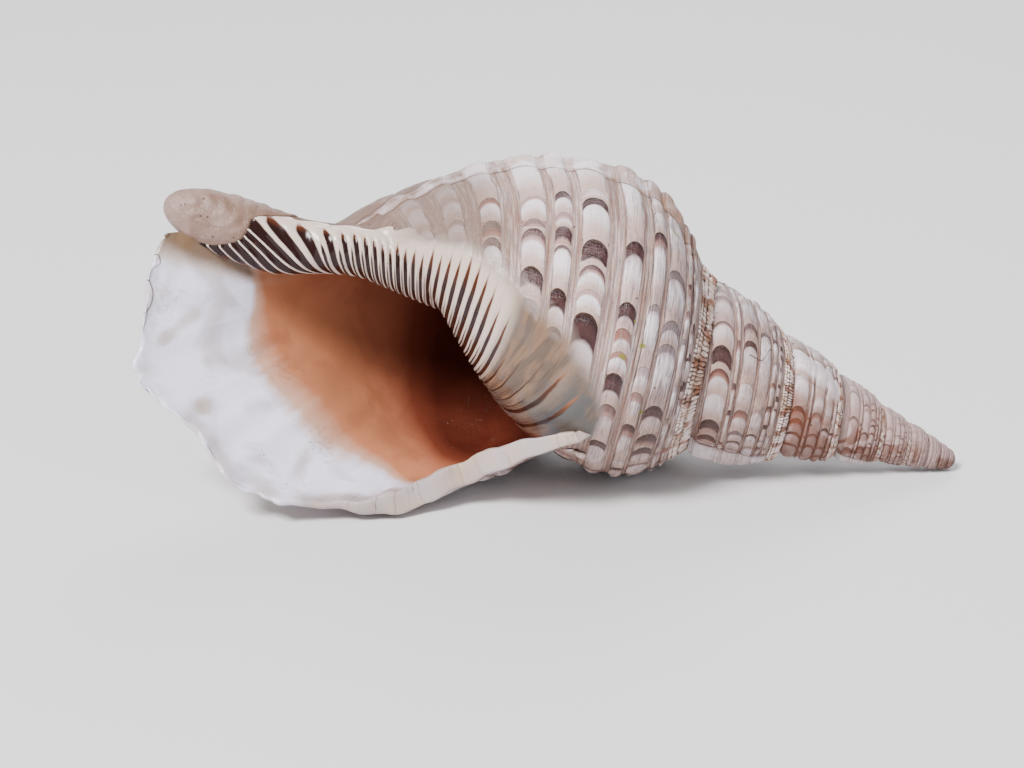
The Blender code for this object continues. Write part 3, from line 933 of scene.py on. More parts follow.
@dataclass(frozen=True)
class WhorlFinish:
    """The outside of the whorls: cream glaze with crescents on the ribs and brown threads in the grooves."""

    white: tuple = (0.82, 0.73, 0.79)
    cream: tuple = (0.48, 0.320, 0.275)
    groove: tuple = (0.25, 0.130, 0.098)
    pale: tuple = (0.44, 0.300, 0.255)
    line: tuple = (0.055, 0.023, 0.012)
    dark: tuple = (0.022, 0.0055, 0.0062)
    dark_end: tuple = (0.062, 0.023, 0.024)
    tan: tuple = (0.22, 0.045, 0.008)
    grey: tuple = (0.20, 0.160, 0.170)
    rosy: tuple = (0.56, 0.335, 0.295)
    lilac: tuple = (0.42, 0.340, 0.355)
    tip_tone: tuple = (0.72, 0.530, 0.535)
    ochre: tuple = (0.24, 0.095, 0.026)
    # rust and umber are the browns of the spire whorls' lower side, which stand partly for painted shade
    rust: tuple = (0.140, 0.030, 0.007)
    umber: tuple = (0.070, 0.017, 0.006)
    apex: tuple = (0.26, 0.085, 0.030)
    base: tuple = (0.20, 0.137, 0.114)
    algae: tuple = (0.20, 0.20, 0.014)
    arch: float = 1.05
    # a crack on the spire: its growth angle, the station ratios of its near end, its bend and its far
    # end, and how many degrees the near end lies off
    crack_growth: float = -623.0
    crack_span: tuple = (1.145, 1.205, 1.270)
    crack_bend: float = 13.0
    # growth angle, station ratio and size of each speck of algae
    moss: tuple = (
        (-283.7, 1.262, 1.0), (-289.9, 1.322, 1.0), (-230.7, 1.185, 1.3), (-276.0, 1.300, 0.5),
        (-310.0, 1.215, 0.8), (-655.0, 1.340, 0.5),
    )
    gloss: Gloss = field(default_factory=Gloss)

    def material(self) -> bpy.types.Material:
        """The whorls' own material.

        Returns:
            The material; it reads what paint reads.
        """
        sheet = new_sheet("whorl_glaze")
        colour, height, rough = self.paint(sheet)
        self.gloss.dress(sheet, colour, rough, sheet.relief(height, 0.0009))
        return sheet.material

    def damage(self, sheet: NodeSheet, turns: Field, ratio: Field, fine: Field,
               middle: Field) -> list[tuple]:
        """The specks of algae, ovals with a ragged border, and the hairline crack on the spire.

        Args:
            sheet: the sheet to build the nodes in.
            turns: growth in turns.
            ratio: station over the scale.
            fine: fine noise.
            middle: coarser noise.

        Returns:
            Coats, as NodeSheet.over takes them.
        """
        coats = []
        for growth, at, size in self.moss:
            away = sheet.math("POWER", (turns * 360.0 - growth) / (1.2 * size), 2.0)
            away = away + sheet.math("POWER", (ratio - at) / (0.0125 * size), 2.0) + (fine - 0.5) * 4.2
            coats.append(((1.0 - sheet.smooth(0.4, 1.0, away)) * 0.85, self.algae))
        near, bend, far = self.crack_span
        off = turns * 360.0 - self.crack_growth - sheet.smooth(bend, near, ratio) * self.crack_bend
        off = sheet.math("ABSOLUTE", off - (middle - 0.5) * 3.0)
        crack = (1.0 - sheet.smooth(0.25, 0.85, off)) * sheet.band(near, far, 0.008, ratio)
        return coats + [(crack * 0.8, self.line)]

    def paint(self, sheet: NodeSheet) -> tuple[Field, Field, Field]:
        """Colour, height and roughness of the whorls.

        It reads the whorl attributes spiral, mark, tone, seam and rib.

        Args:
            sheet: the sheet to build the nodes in.

        Returns:
            The colour, the height in units of 0.9 mm, and the roughness.
        """
        place = sheet.object_place()
        turns, ratio, across = sheet.attribute("spiral")
        count, spacing, length = sheet.attribute("mark")
        dark, tan, stand = sheet.attribute("tone")
        seam, past, worn = sheet.attribute("seam")
        arch, rib, _ = sheet.attribute("rib")
        fine = sheet.noise(place, 520.0, 4.0, 0.62)
        middle = sheet.noise(place, 85.0, 4.0, 0.6)
        broad = sheet.noise(place, 24.0, 3.0, 0.5)
        patch = sheet.noise(place, 11.0, 2.0, 0.5)
        clots = sheet.noise(place, 62.0, 3.0, 0.6, 0.5)
        along = sheet.noise(sheet.join(turns * 26.0, ratio * 210.0, 0.0), 1.0, 4.0, 0.6)
        lower = sheet.noise(sheet.join(turns * 40.0, ratio * 90.0, 4.0), 1.0, 4.0, 0.65, 0.5)
        growth_lines = sheet.noise(sheet.join(turns * 330.0, ratio * 9.0, 0.0), 1.0, 4.0, 0.65, 0.4)

        # how far below the arched edge of its crescent a point lies
        wobble = (middle - 0.5) * 0.55 + (fine - 0.5) * 0.18
        side = sheet.math("MINIMUM", across * across, 0.985)
        rise = 1.0 - sheet.math("POWER", 1.0 - side, 0.5)
        lean = (sheet.noise(sheet.join(count * 0.9, rib * 3.1, 2.0), 1.0, 1.0) - 0.5) * across
        bent = count + (rise * arch * self.arch + lean * 2.2 + wobble * 1.8) / spacing
        below = (1.0 - sheet.math("FRACT", bent)) * spacing
        share = below / length
        fresh = 1.0 - sheet.smooth(0.25, 0.95, below / spacing)

        # ribs, and grooves with their threads
        on_rib = sheet.over(
            self.cream, (sheet.smooth(0.15, 0.85, fresh * 0.55 + along * 0.5), self.white),
            (sheet.smooth(0.50, 0.70, patch) * 0.45, self.cream),
            (sheet.smooth(0.52, 0.74, along) * 0.5, self.grey))
        bands = sheet.noise(sheet.join(turns * 9.0, ratio * 66.0, 9.0), 1.0, 3.0, 0.55)
        thread = ratio * 86.0 + (along - 0.5) * 1.9 + (lower - 0.5) * 0.9
        thread = sheet.math("PINGPONG", thread, 0.5)
        shoulder_side = 1.0 - sheet.smooth(1.26, 1.38, ratio) * sheet.smooth(-1.75, -1.55, turns)
        lined = (1.0 - sheet.smooth(0.05, 0.16, thread)) * sheet.smooth(0.42, 0.60, along)
        lined = lined * (shoulder_side * 0.62 + 0.38)
        in_groove = sheet.over(
            self.groove, (sheet.smooth(0.36, 0.60, bands), self.pale),
            (sheet.smooth(0.52, 0.66, broad) * 0.6, self.groove),
            (sheet.smooth(0.50, 0.66, along) * 0.35, self.white),
            (sheet.smooth(0.46, 0.62, lower) * 0.45, self.grey),
            (sheet.smooth(0.25, 0.42, thread) * sheet.smooth(0.44, 0.58, bands) * 0.30, self.white),
            (lined * 0.78, self.line))
        stands = sheet.smooth(0.30, 0.70, stand + (fine - 0.5) * 0.40)

        # the spire, its tip and its far side
        spire = sheet.smooth(-1.6, -2.3, turns)
        tip = sheet.smooth(-4.5, -6.2, turns)
        turned = sheet.math("FRACT", turns)
        half_on = sheet.math("FRACT", turned + 0.5)
        far_side = sheet.band(0.36, 0.76, 0.05, turned + (broad - 0.5) * 0.16)
        far_side = far_side * sheet.smooth(-1.5, -1.7, turns)
        rosy = sheet.smooth(-2.0, -5.0, turns + (broad - 0.5) * 2.4)

        # crescents
        fade = sheet.smooth(0.28, 0.44, broad) * (0.55 - spire * 0.30) + spire * 0.30 + 0.45
        shown = stands * (1.0 - worn * 0.8) * fade * (1.0 - far_side * 0.8) * (1.0 - tip * 0.65)
        body = 1.0 - sheet.smooth(0.94 - tan * 0.50, 1.03, share + (fine - 0.5) * 0.14)
        rim = sheet.band(-0.5, 1.30, 0.30, share)
        heart = sheet.band(0.30, 0.78, 0.18, share + (middle - 0.5) * 0.4)
        # marks on the lower side of the spire whorls turn umber: partly their own brown, partly painted shade
        lower_mark_brown_and_shade = sheet.band(0.40, 0.58, 0.05, half_on + (middle - 0.5) * 0.08)
        lower_mark_brown_and_shade = lower_mark_brown_and_shade * sheet.smooth(-1.5, -1.7, turns)
        shade = sheet.over(
            self.dark, (heart * (0.85 - spire * 0.50), self.dark_end), (lower_mark_brown_and_shade * 0.78, self.umber),
            (sheet.smooth(0.78 - spire * 0.25, 1.0, share) * tan * 0.9, self.tan))
        dark_share = sheet.smooth(0.02, 0.50 - spire * 0.12, dark + (middle - 0.5) * 0.2) * body * shown
        clear = 1.0 - dark_share * 0.75
        outline = sheet.band(-0.02, 0.10, 0.05, share) * shown
        outline = outline * sheet.smooth(0.02, 0.3, dark + tan * 0.4)
        edge = sheet.smooth(0.44, 0.62, along + (shoulder_side - 0.6) * 0.05 + (broad - 0.5) * 0.2)
        edge = edge * sheet.band(0.30, 0.70, 0.20, stand)
        edge = edge * (1.0 - far_side * 0.6) * (1.0 - tip * 0.5) * (1.0 - spire * 0.25)

        # rust mottling; a brown lower side of the spire whorls with a paler pink blush elsewhere, partly real
        # colour and partly painted shade; fine threads of the shoulder; and the dull base
        rusty = sheet.smooth(0.56, 0.66, clots) * spire * (1.0 - far_side)
        under_brown_and_shade = sheet.band(0.46, 0.72, 0.05, half_on + (middle - 0.5) * 0.14)
        under_brown_and_shade = under_brown_and_shade * sheet.smooth(0.42, 0.52, clots) * sheet.smooth(-2.0, -2.6, turns)
        paler = sheet.smooth(-2.4, -4.4, turns) * clear * (1.0 - under_brown_and_shade)
        at_apex = sheet.smooth(-7.6, -8.8, turns + (middle - 0.5) * 1.2) * sheet.smooth(0.42, 0.56, middle)
        threads = ratio * 150.0 + (along - 0.5) * 2.6 + (middle - 0.5) * 1.2
        threads = 1.0 - sheet.smooth(0.05, 0.20, sheet.math("PINGPONG", threads, 0.5))
        threads = threads * sheet.smooth(0.46, 0.62, along) * (1.0 - sheet.smooth(1.22, 1.34, ratio))
        threads = threads * (1.0 - spire * 0.45) * (1.0 - tip * 0.4)
        base = sheet.smooth(1.62, 1.84, ratio + (middle - 0.5) * 0.10)
        colour = sheet.over(
            in_groove, (stands, on_rib), (rosy * 0.34, self.rosy),
            (far_side * (along * 0.5 + 0.35), self.lilac), (rim * tan * shown * 0.9, self.tan),
            (dark_share, shade), (outline * 0.55, self.line), (edge * 0.80, self.line),
            ((1.0 - stands) * spire * (0.24 - tip * 0.12), self.line),
            (rusty * (0.70 - stands * 0.35), self.tan),
            (under_brown_and_shade * (0.95 - stands * 0.22 - tip * 0.18), self.rust), (paler * 0.46, self.tip_tone),
            (at_apex * 0.80, self.apex), (threads * 0.60, self.line), (base * 0.82, self.base))

        # old lips, growth lines and dirt
        rolled = past - spire * 2.6
        old_lip = sheet.band(-9.0, 5.0, 2.2, rolled) * sheet.smooth(0.36, 0.56, middle + spire * 0.28)
        upper = 1.0 - sheet.smooth(1.25, 1.50, ratio)
        rust = sheet.band(-12.0, 6.0, 3.0, past) * sheet.smooth(0.45, 0.55, clots + upper * 0.06)
        fold_place = rolled + (middle - 0.5) * 1.0
        fold = sheet.band(6.0, 6.9, 0.4, fold_place) + sheet.band(8.0, 8.5, 0.3, fold_place) * 0.8
        fold = sheet.math("MINIMUM", fold * sheet.smooth(0.34, 0.48, broad + spire * 0.10), 1.0)
        seam_line = sheet.band(-11.0, -10.0, 0.35, past + (middle - 0.5) * 1.6) * (1.0 - spire * 0.6)
        lines = sheet.smooth(0.56, 0.72, growth_lines)
        shoulder = 1.0 - sheet.smooth(0.10, 0.34, seam)
        streaks = sheet.smooth(0.48, 0.62, along) * shoulder * (1.0 - spire * 0.45)
        lavender = sheet.smooth(0.47, 0.62, lower) * (1.0 - sheet.smooth(1.32, 1.48, ratio))
        lavender = lavender * (stands * 0.6 + 0.4) * clear * (0.60 - spire * 0.36)
        specks = 1.0 - sheet.smooth(0.05, 0.09, sheet.cells(place, 150.0))
        colour = sheet.over(
            colour, (old_lip * (spire * 0.32 + 0.6), self.white),
            (rust * (upper * 0.45 + 0.25) * (1.0 - spire * 0.8), self.ochre), (fold * 0.85, self.line),
            (seam_line * 0.8, self.line), (lines * clear * 0.32, self.groove),
            (streaks * 0.50, self.line), (lavender, self.grey),
            (sheet.smooth(0.50, 0.64, patch) * clear * 0.30, self.groove),
            (specks * sheet.smooth(0.50, 0.58, middle) * 0.85, self.line),
            *self.damage(sheet, turns, ratio, fine, middle))

        height = lined * (1.0 - stands) * -0.30 - edge * 0.25
        height = height + (growth_lines - 0.5) * 0.42 + (along - 0.5) * 0.40 + (fine - 0.5) * 0.12
        height = height + (middle - 0.5) * 0.22 - specks * 0.15 - outline * 0.16 - seam_line * 0.3
        height = height - fold * 0.3 - threads * 0.18
        height = height + sheet.smooth(0.15, 0.42, thread) * (1.0 - stands) * 0.14
        rough = (middle - 0.5) * 0.25 + (1.0 - stands) * 0.12 + lines * 0.10 + worn * 0.12 + 0.26
        return colour, height, rough


@dataclass(frozen=True)
class CordFinish:
    """The beaded cords along the seam: white beads with brown gaps, stained in runs."""

    white: tuple = (0.80, 0.67, 0.64)
    cream: tuple = (0.46, 0.30, 0.225)
    gap: tuple = (0.048, 0.018, 0.010)
    stain: tuple = (0.22, 0.052, 0.010)
    gloss: Gloss = field(default_factory=Gloss)

    def material(self) -> bpy.types.Material:
        """Builds the material.

        Returns:
            The material; it reads the attribute cord (height, stain).
        """
        sheet = new_sheet("cord_glaze")
        place = sheet.object_place()
        height, stain, _ = sheet.attribute("cord")
        fine = sheet.noise(place, 520.0, 3.0, 0.6)
        middle = sheet.noise(place, 110.0, 3.0, 0.55)
        stained = sheet.smooth(0.30, 0.62, stain + (middle - 0.5) * 0.5)
        gap_share = sheet.smooth(0.40, 0.60, sheet.noise(place, 46.0, 2.0)) * 0.50 + 0.38
        gap = sheet.over(self.cream, (stained, self.gap), (gap_share, self.gap))
        crown = sheet.over(
            self.white, (sheet.smooth(0.40, 0.62, middle), self.cream), (stained * 0.75, self.stain))
        colour = sheet.over(gap, (sheet.smooth(0.16, 0.60, height + (fine - 0.5) * 0.22), crown))
        normal = sheet.relief((fine - 0.5) * 0.3 + (middle - 0.5) * 0.4, 0.0006)
        self.gloss.dress(sheet, colour, (middle - 0.5) * 0.2 + 0.34, normal)
        return sheet.material


@dataclass(frozen=True)
class MouthFinish:
    """The inside of the mouth: bluish white lip that runs into orange and deep red-brown; the darkest brown far
    in is partly painted shade.
    """

    white: tuple = (0.83, 0.815, 1.0)
    edge: tuple = (0.37, 0.290, 0.270)
    blush: tuple = (0.60, 0.36, 0.27)
    salmon: tuple = (0.49, 0.185, 0.092)
    orange: tuple = (0.42, 0.145, 0.078)
    brown: tuple = (0.165, 0.040, 0.022)
    # deep stands partly for painted shade far in the throat
    deep: tuple = (0.074, 0.015, 0.009)
    stain: tuple = (0.42, 0.33, 0.30)
    grey: tuple = (0.32, 0.31, 0.34)
    speck: tuple = (0.10, 0.075, 0.06)
    # canal is the brown of the band under the tongue: painted shadow of the tongue, partly brown stain
    canal: tuple = (0.125, 0.066, 0.028)
    buff: tuple = (0.50, 0.37, 0.27)
    crease: tuple = (0.34, 0.200, 0.160)
    # a crack and a chip of the lip: place of the middle, half the length, degrees in that it bows
    long_crack: tuple = (0.896, 0.026, 1.15)
    chip: tuple = (0.950, 0.012, 1.70)
    gloss: Gloss = field(default_factory=lambda: Gloss(0.20, 0.08, 1.42, 0.40))

    @staticmethod
    def crack(sheet: NodeSheet, along: Field, from_edge: Field, middle: float, half: float,
              deep: float) -> Field:
        """A hairline that bows in from the lip's edge: its distance from the edge is a parabola.

        Args:
            sheet: the material's sheet.
            along: place along the lip.
            from_edge: degrees in from the edge.
            middle: place of the crack's middle.
            half: half its length.
            deep: how many degrees in it bows.

        Returns:
            1 on the line and 0 away from it.
        """
        across = (along - middle) / half
        bow = 1.0 - across * across
        off = sheet.math("ABSOLUTE", from_edge - bow * deep)
        return (1.0 - sheet.smooth(0.08, 0.26, off)) * sheet.smooth(0.0, 0.12, bow)

    def material(self) -> bpy.types.Material:
        """Builds the material.

        Returns:
            The material; it reads the attributes lip (inward, rim, place) and canal (share of the tongue's
            painted shadow, from edge).
        """
        sheet = new_sheet("mouth_glaze")
        place = sheet.object_place()
        inward, rim, along = sheet.attribute("lip")
        tongue_shadow_share, from_edge, _ = sheet.attribute("canal")
        fine = sheet.noise(place, 420.0, 4.0, 0.62)
        middle = sheet.noise(place, 70.0, 4.0, 0.6)
        broad = sheet.noise(place, 20.0, 3.0, 0.5)
        clouds = sheet.noise(place, 34.0, 3.0, 0.5, 0.6)
        folds = sheet.noise(sheet.join(along * 40.0, inward * 0.016, 0.0), 1.0, 2.0, 0.5)

        # from the white lip to the depth of the throat; the last stops, deep above all, are partly painted
        # shade
        deepness = inward + (broad - 0.5) * 10.0 + (folds - 0.5) * 5.0 + (middle - 0.5) * 2.5
        throat = sheet.ramp(sheet.math("DIVIDE", deepness + 8.0, 120.0, clamp=True), (
            (0.000, self.white), (0.035, self.white), (0.070, self.blush), (0.120, self.salmon),
            (0.260, self.salmon), (0.400, self.orange), (0.600, self.brown), (0.850, self.deep),
            (1.000, self.deep)))
        on_lip = 1.0 - sheet.smooth(-3.0, 4.0, deepness)
        warm = sheet.smooth(0.47, 0.64, clouds) * on_lip
        cool = sheet.smooth(0.54, 0.66, sheet.noise(place, 26.0, 2.0)) * on_lip
        blotch = sheet.smooth(0.46, 0.66, clouds) * (1.0 - on_lip)

        # the lip's thick margin, and the canal: a brown band on the lip under the tongue, painted shadow of the
        # tongue and partly brown stain
        margin = sheet.smooth(0.15, 0.95, rim + (middle - 0.5) * 0.9)
        buff = sheet.smooth(0.46, 0.60, sheet.noise(place, 44.0, 3.0, 0.55)) * margin
        creases = sheet.join(along * 120.0 + (middle - 0.5) * 3.0, from_edge * 0.10, 3.0)
        creases = sheet.smooth(0.50, 0.76, sheet.noise(creases, 1.0, 2.0, 0.5))
        creases = creases * margin * (1.0 - sheet.smooth(0.36, 0.44, along))
        canal = tongue_shadow_share + (middle - 0.5) * 0.35
        beside = sheet.smooth(0.02, 0.50, canal) * (on_lip * 0.8 + 0.2)
        canal = sheet.smooth(0.22, 0.98, canal) * (on_lip * 0.8 + 0.2)

        # wear and dirt
        scratch = sheet.noise(place, 210.0, 3.0, 0.6, 1.6)
        scratched = sheet.band(0.560, 0.585, 0.010, scratch) * sheet.smooth(0.52, 0.64, broad)
        pits = 1.0 - sheet.smooth(0.12, 0.20, sheet.cells(place, 420.0))
        pits = pits * sheet.smooth(0.58, 0.66, sheet.noise(place, 38.0, 3.0)) * on_lip
        specks = 1.0 - sheet.smooth(0.045, 0.075, sheet.cells(place, 85.0))
        cracked = self.crack(sheet, along, from_edge + (middle - 0.5) * 0.7, *self.long_crack)
        chipped = self.crack(sheet, along, from_edge + (fine - 0.5) * 1.8, *self.chip)
        crack = sheet.math("MAXIMUM", cracked, chipped)
        colour = sheet.over(
            throat, (warm * 0.50, self.stain), (cool * 0.16, self.grey), (margin * 0.85, self.edge),
            (buff * 0.5, self.buff), (creases * 0.50, self.crease), (beside * 0.55, self.buff),
            (canal * 0.95, self.canal), (blotch * 0.25, self.brown),
            (scratched * on_lip * 0.30, self.stain), (pits * 0.65, self.grey),
            (specks * sheet.smooth(0.50, 0.60, middle) * 0.8, self.speck), (crack * 0.85, self.speck))

        height = (folds - 0.5) * on_lip * 0.5 + (middle - 0.5) * 0.26 + (clouds - 0.5) * on_lip * 0.9
        height = height + (fine - 0.5) * 0.10 - pits * 0.35 - scratched * 0.15 - crack * 0.4
        height = height - creases * 0.5
        rough = (fine - 0.5) * 0.10 + warm * 0.12 + margin * 0.14 + pits * 0.2 + 0.20
        self.gloss.dress(sheet, colour, rough, sheet.relief(height, 0.0008))
        return sheet.material


@dataclass(frozen=True)
class ColumellaFinish:
    """The columella and the glaze beside it: dark brown stripes between cream ridges."""

    ridge: tuple = (0.68, 0.55, 0.48)
    glaze: tuple = (0.118, 0.080, 0.060)
    cool: tuple = (0.082, 0.078, 0.075)
    blue: tuple = (0.070, 0.080, 0.092)
    warm: tuple = (0.205, 0.124, 0.079)
    smear: tuple = (0.060, 0.034, 0.025)
    veil: tuple = (0.30, 0.255, 0.235)
    dark: tuple = (0.016, 0.004, 0.003)
    brown: tuple = (0.090, 0.024, 0.008)
    tip: tuple = (0.33, 0.105, 0.030)
    flush: tuple = (0.33, 0.105, 0.055)
    whorl: WhorlFinish = field(default_factory=WhorlFinish)
    gloss: Gloss = field(default_factory=lambda: Gloss(0.10, 0.10, 1.42, 0.34))

    def material(self) -> bpy.types.Material:
        """Builds the material. The glaze is thin at its border, so the whorl shows through there.

        Returns:
            The material; it reads the attributes stripe (count, width, reach), callus and border, and
            what the whorls' own finish reads.
        """
        sheet = new_sheet("columella_glaze")
        place = sheet.object_place()
        count, width, reach = sheet.attribute("stripe")
        inner, striped, upper = sheet.attribute("callus")
        end, low, _ = sheet.attribute("border")
        fine = sheet.noise(place, 420.0, 3.0, 0.6)
        middle = sheet.noise(place, 75.0, 3.0, 0.55)
        broad = sheet.noise(place, 34.0, 3.0, 0.6, 0.5)
        patch = sheet.noise(sheet.join(count * 1.7, reach * 1.1, 0.0), 1.0, 4.0, 0.55, 0.5)
        streak = sheet.noise(sheet.join(count * 3.4, reach * 0.9, 7.0), 1.0, 4.0, 0.60, 0.4)

        # the glaze between the stripes; toward the lip corner, where by_lip is high, it goes a darker grey as
        # painted shade
        by_lip = 1.0 - sheet.smooth(8.8, 12.0, count)
        bluish = sheet.smooth(0.53, 0.62, sheet.noise(place, 62.0, 2.0, 0.5, 0.3)) * (by_lip * 0.7 + 0.3)
        base = sheet.over(
            self.glaze, (sheet.smooth(0.40, 0.62, patch), self.warm),
            (sheet.smooth(0.48, 0.66, broad) * 0.8, self.cool),
            (sheet.smooth(0.54, 0.68, streak) * 0.55, self.smear), (bluish * 0.75, self.blue),
            (by_lip * 0.40, self.cool), (sheet.math("MAXIMUM", striped * 0.85, upper * 0.9), self.ridge))

        # long stripes, and short ones between them
        wobble = (middle - 0.5) * 0.16
        beside = sheet.math("PINGPONG", count + wobble, 0.5) * 2.0
        odd = sheet.join(sheet.math("FLOOR", count + wobble + 0.5), 0.5, 0.5)
        odd = sheet.noise(odd, 3.7, 0.0)
        reaches = reach + (odd - 0.5) * 1.1 + (fine - 0.5) * 0.12
        half = width * sheet.smooth(-0.35, 1.3 - by_lip * 0.8, reaches) * (odd * 0.7 + 0.65)
        stripe = 1.0 - sheet.smooth(half - 0.12, half + 0.07, beside)
        stripe = stripe * sheet.smooth(-0.05, 0.55, reaches)
        between = sheet.math("PINGPONG", count + wobble * 1.6 + 0.5, 0.5) * 2.0
        inner_reach = sheet.noise(sheet.join(count * 2.0, 0.5, 8.0), 1.0, 1.0)
        inner_reach = reaches + (inner_reach - 0.5) * 2.4
        short = width * 0.42 * sheet.smooth(1.3, 2.6, inner_reach)
        short = 1.0 - sheet.smooth(short - 0.08, short + 0.06, between)
        short = short * sheet.smooth(1.3, 2.0, inner_reach) * (1.0 - sheet.smooth(0.50, 0.60, width))
        stripe = sheet.math("MAXIMUM", stripe, short)
        shade = sheet.over(
            self.dark, (sheet.smooth(1.25, 0.35, reaches), self.brown),
            (sheet.smooth(by_lip * 0.40 + 0.42, by_lip * 0.25 + 0.05, reaches), self.tip))
        specks = 1.0 - sheet.smooth(0.05, 0.085, sheet.cells(place, 130.0))
        specks = specks * sheet.smooth(0.52, 0.60, middle)
        colour = sheet.over(
            base, (stripe * sheet.smooth(0.0, 0.08, width), shade), (inner, self.flush),
            (specks * 0.7, self.brown))

        # the whorl below, where the glaze ends
        below, below_height, _ = self.whorl.paint(sheet)
        film = sheet.smooth(0.85, 2.1, end + (middle - 0.5) * 0.9 + (broad - 0.5) * 1.2)
        film = sheet.math("MAXIMUM", film, upper)
        colour = sheet.over(below, (sheet.smooth(0.35, 1.4, end) * 0.35, self.veil), (film, colour))
        height = (middle - 0.5) * 0.45 + (fine - 0.5) * 0.08 - stripe * 0.30 + (patch - 0.5) * low * 0.9
        height = height * film + below_height * (1.0 - film) * 0.8
        rough = (fine - 0.5) * 0.08 + (broad - 0.5) * 0.14 + 0.20
        self.gloss.dress(sheet, colour, rough, sheet.relief(height, 0.0008))
        return sheet.material


@dataclass(frozen=True)
class TongueFinish:
    """The siphonal tongue and the neck behind it: dull pinkish beige with pits and growth lines."""

    pale: tuple = (0.285, 0.190, 0.166)
    beige: tuple = (0.190, 0.113, 0.083)
    grey: tuple = (0.13, 0.095, 0.080)
    speck: tuple = (0.060, 0.030, 0.020)
    gloss: Gloss = field(default_factory=lambda: Gloss(0.04, 0.25, 1.42, 0.34))

    def material(self) -> bpy.types.Material:
        """Builds the material.

        Returns:
            The material; it reads the attribute neck (growth lines, chalk, border).
        """
        sheet = new_sheet("tongue_glaze")
        place = sheet.object_place()
        lines_at, chalk, border = sheet.attribute("neck")
        fine = sheet.noise(place, 560.0, 4.0, 0.68)
        middle = sheet.noise(place, 100.0, 4.0, 0.62)
        broad = sheet.noise(place, 36.0, 3.0, 0.5, 0.4)
        lines = sheet.noise(sheet.join(lines_at, 0.0, chalk), 1.0, 3.0, 0.6)
        lined = sheet.smooth(0.48, 0.62, lines) * chalk
        pits = 1.0 - sheet.smooth(0.10, 0.18, sheet.cells(place, 360.0))
        pits = pits * sheet.smooth(0.50, 0.60, sheet.noise(place, 80.0, 2.0))
        colour = sheet.over(
            self.pale, (sheet.smooth(0.42, 0.60, broad), self.beige), (lined * 0.8, self.grey),
            (sheet.smooth(0.52, 0.66, middle) * 0.5, self.beige), (pits * 0.7, self.speck),
            (border * 0.8, self.speck))
        height = (middle - 0.5) * 1.5 + (fine - 0.5) * 0.40 - pits * 0.7 + (lines - 0.5) * chalk * 1.6
        rough = (middle - 0.5) * 0.2 + lined * 0.15 + 0.40
        self.gloss.dress(sheet, colour, rough, sheet.relief(height, 0.0009))
        return sheet.material


# The shell's pieces

class Part(Enum):
    """Which stretch of the whorls a piece covers."""

    SPIRE = "spire"
    BODY = "body_whorl"


def mount(item: bpy.types.Object, material: bpy.types.Material) -> bpy.types.Object:
    """Gives a piece its material and ties it to the shell.

    Args:
        item: the piece.
        material: its material.

    Returns:
        The same piece.
    """
    item.data.materials.append(material)
    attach(item, "root")
    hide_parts(SHELL_NODE)
    LOG.info("%s: %d faces", item.name, len(item.data.polygons))
    return item


def whorl_rows(spiral: Spiral, growth: Array, begin: Array, end: Array, counts: tuple) -> Array:
    """Station ratios of the rows across a whorl, with rows on both sides of each rib's edges.

    Args:
        spiral: the shell's spiral.
        growth: growth angle of each column.
        begin: ratio at each column's first row.
        end: ratio at each column's last row.
        counts: cells in a groove, in a rib's edge, and on a rib.

    Returns:
        Array of shape (columns, rows); each stretch between two edges is cut evenly.
    """
    starts, ends = spiral.rib_edges(growth)
    edge = spiral.rib_edge
    stops = [begin]
    cells = []
    for rib in range(starts.shape[-1]):
        if np.min(starts[:, rib]) > np.max(end):
            break
        for border in (starts[:, rib], ends[:, rib]):
            stops += [border - edge, border + edge]
        cells += [counts[0] if rib else counts[0] * 3, counts[1], counts[2], counts[1]]
    stops.append(end)
    cells.append(counts[0])
    knots = np.stack(stops, axis=-1)
    knots = np.maximum.accumulate(np.maximum(knots, begin[:, None]), axis=-1)
    last = knots.shape[1] - 1
    knots = np.minimum(knots, (end[:, None] - 0.00012 * (last - np.arange(last + 1))))
    rows = [knots[:, :1]]
    for k, n in enumerate(cells):
        share = np.arange(1, n + 1) / n
        rows.append(knots[:, k:k + 1] + (knots[:, k + 1:k + 2] - knots[:, k:k + 1]) * share)
    return np.concatenate(rows, axis=1)


def whorl_attributes(spiral: Spiral, pattern: MarkPattern, growth: Array,
                     ratio: Array) -> dict[str, Array]:
    """What the whorl finish reads: where a point is on the spiral, on its rib and in the marks.

    Args:
        spiral: the shell's spiral.
        pattern: the crescents.
        growth: growth angles.
        ratio: stations over the scale.

    Returns:
        The attributes spiral, mark, tone, seam and rib.
    """
    rib, across, stand = spiral.rib_place(growth, ratio)
    laid = pattern.lay(growth, rib)
    seam = ratio - spiral.suture(growth) / spiral.scale(growth)
    pasts = np.stack([spiral.past_varix(growth, ratio, place) for place in spiral.varices], axis=0)
    nearest = np.argmin(np.abs(pasts), axis=0)
    past = np.take_along_axis(pasts, nearest[None], axis=0)[0]
    worn = smooth_step(-30.0, -22.0, past) * (1.0 - smooth_step(4.0, 12.0, past))
    worn = np.maximum(worn, smooth_step(1.80, 1.95, ratio))
    start, end = spiral.rib_edges(growth)
    half = np.take_along_axis(0.5 * (end - start), rib[..., None], -1)[..., 0]
    arch = np.degrees(half / spiral.outline(growth, ratio))
    return {
        "spiral": triple(growth / 360.0, ratio, across),
        "mark": triple(laid["count"], laid["spacing"], laid["length"]),
        "tone": triple(laid["dark"], laid["tan"], stand),
        "seam": triple(seam, past, worn),
        "rib": triple(arch, rib, 0.0),
    }


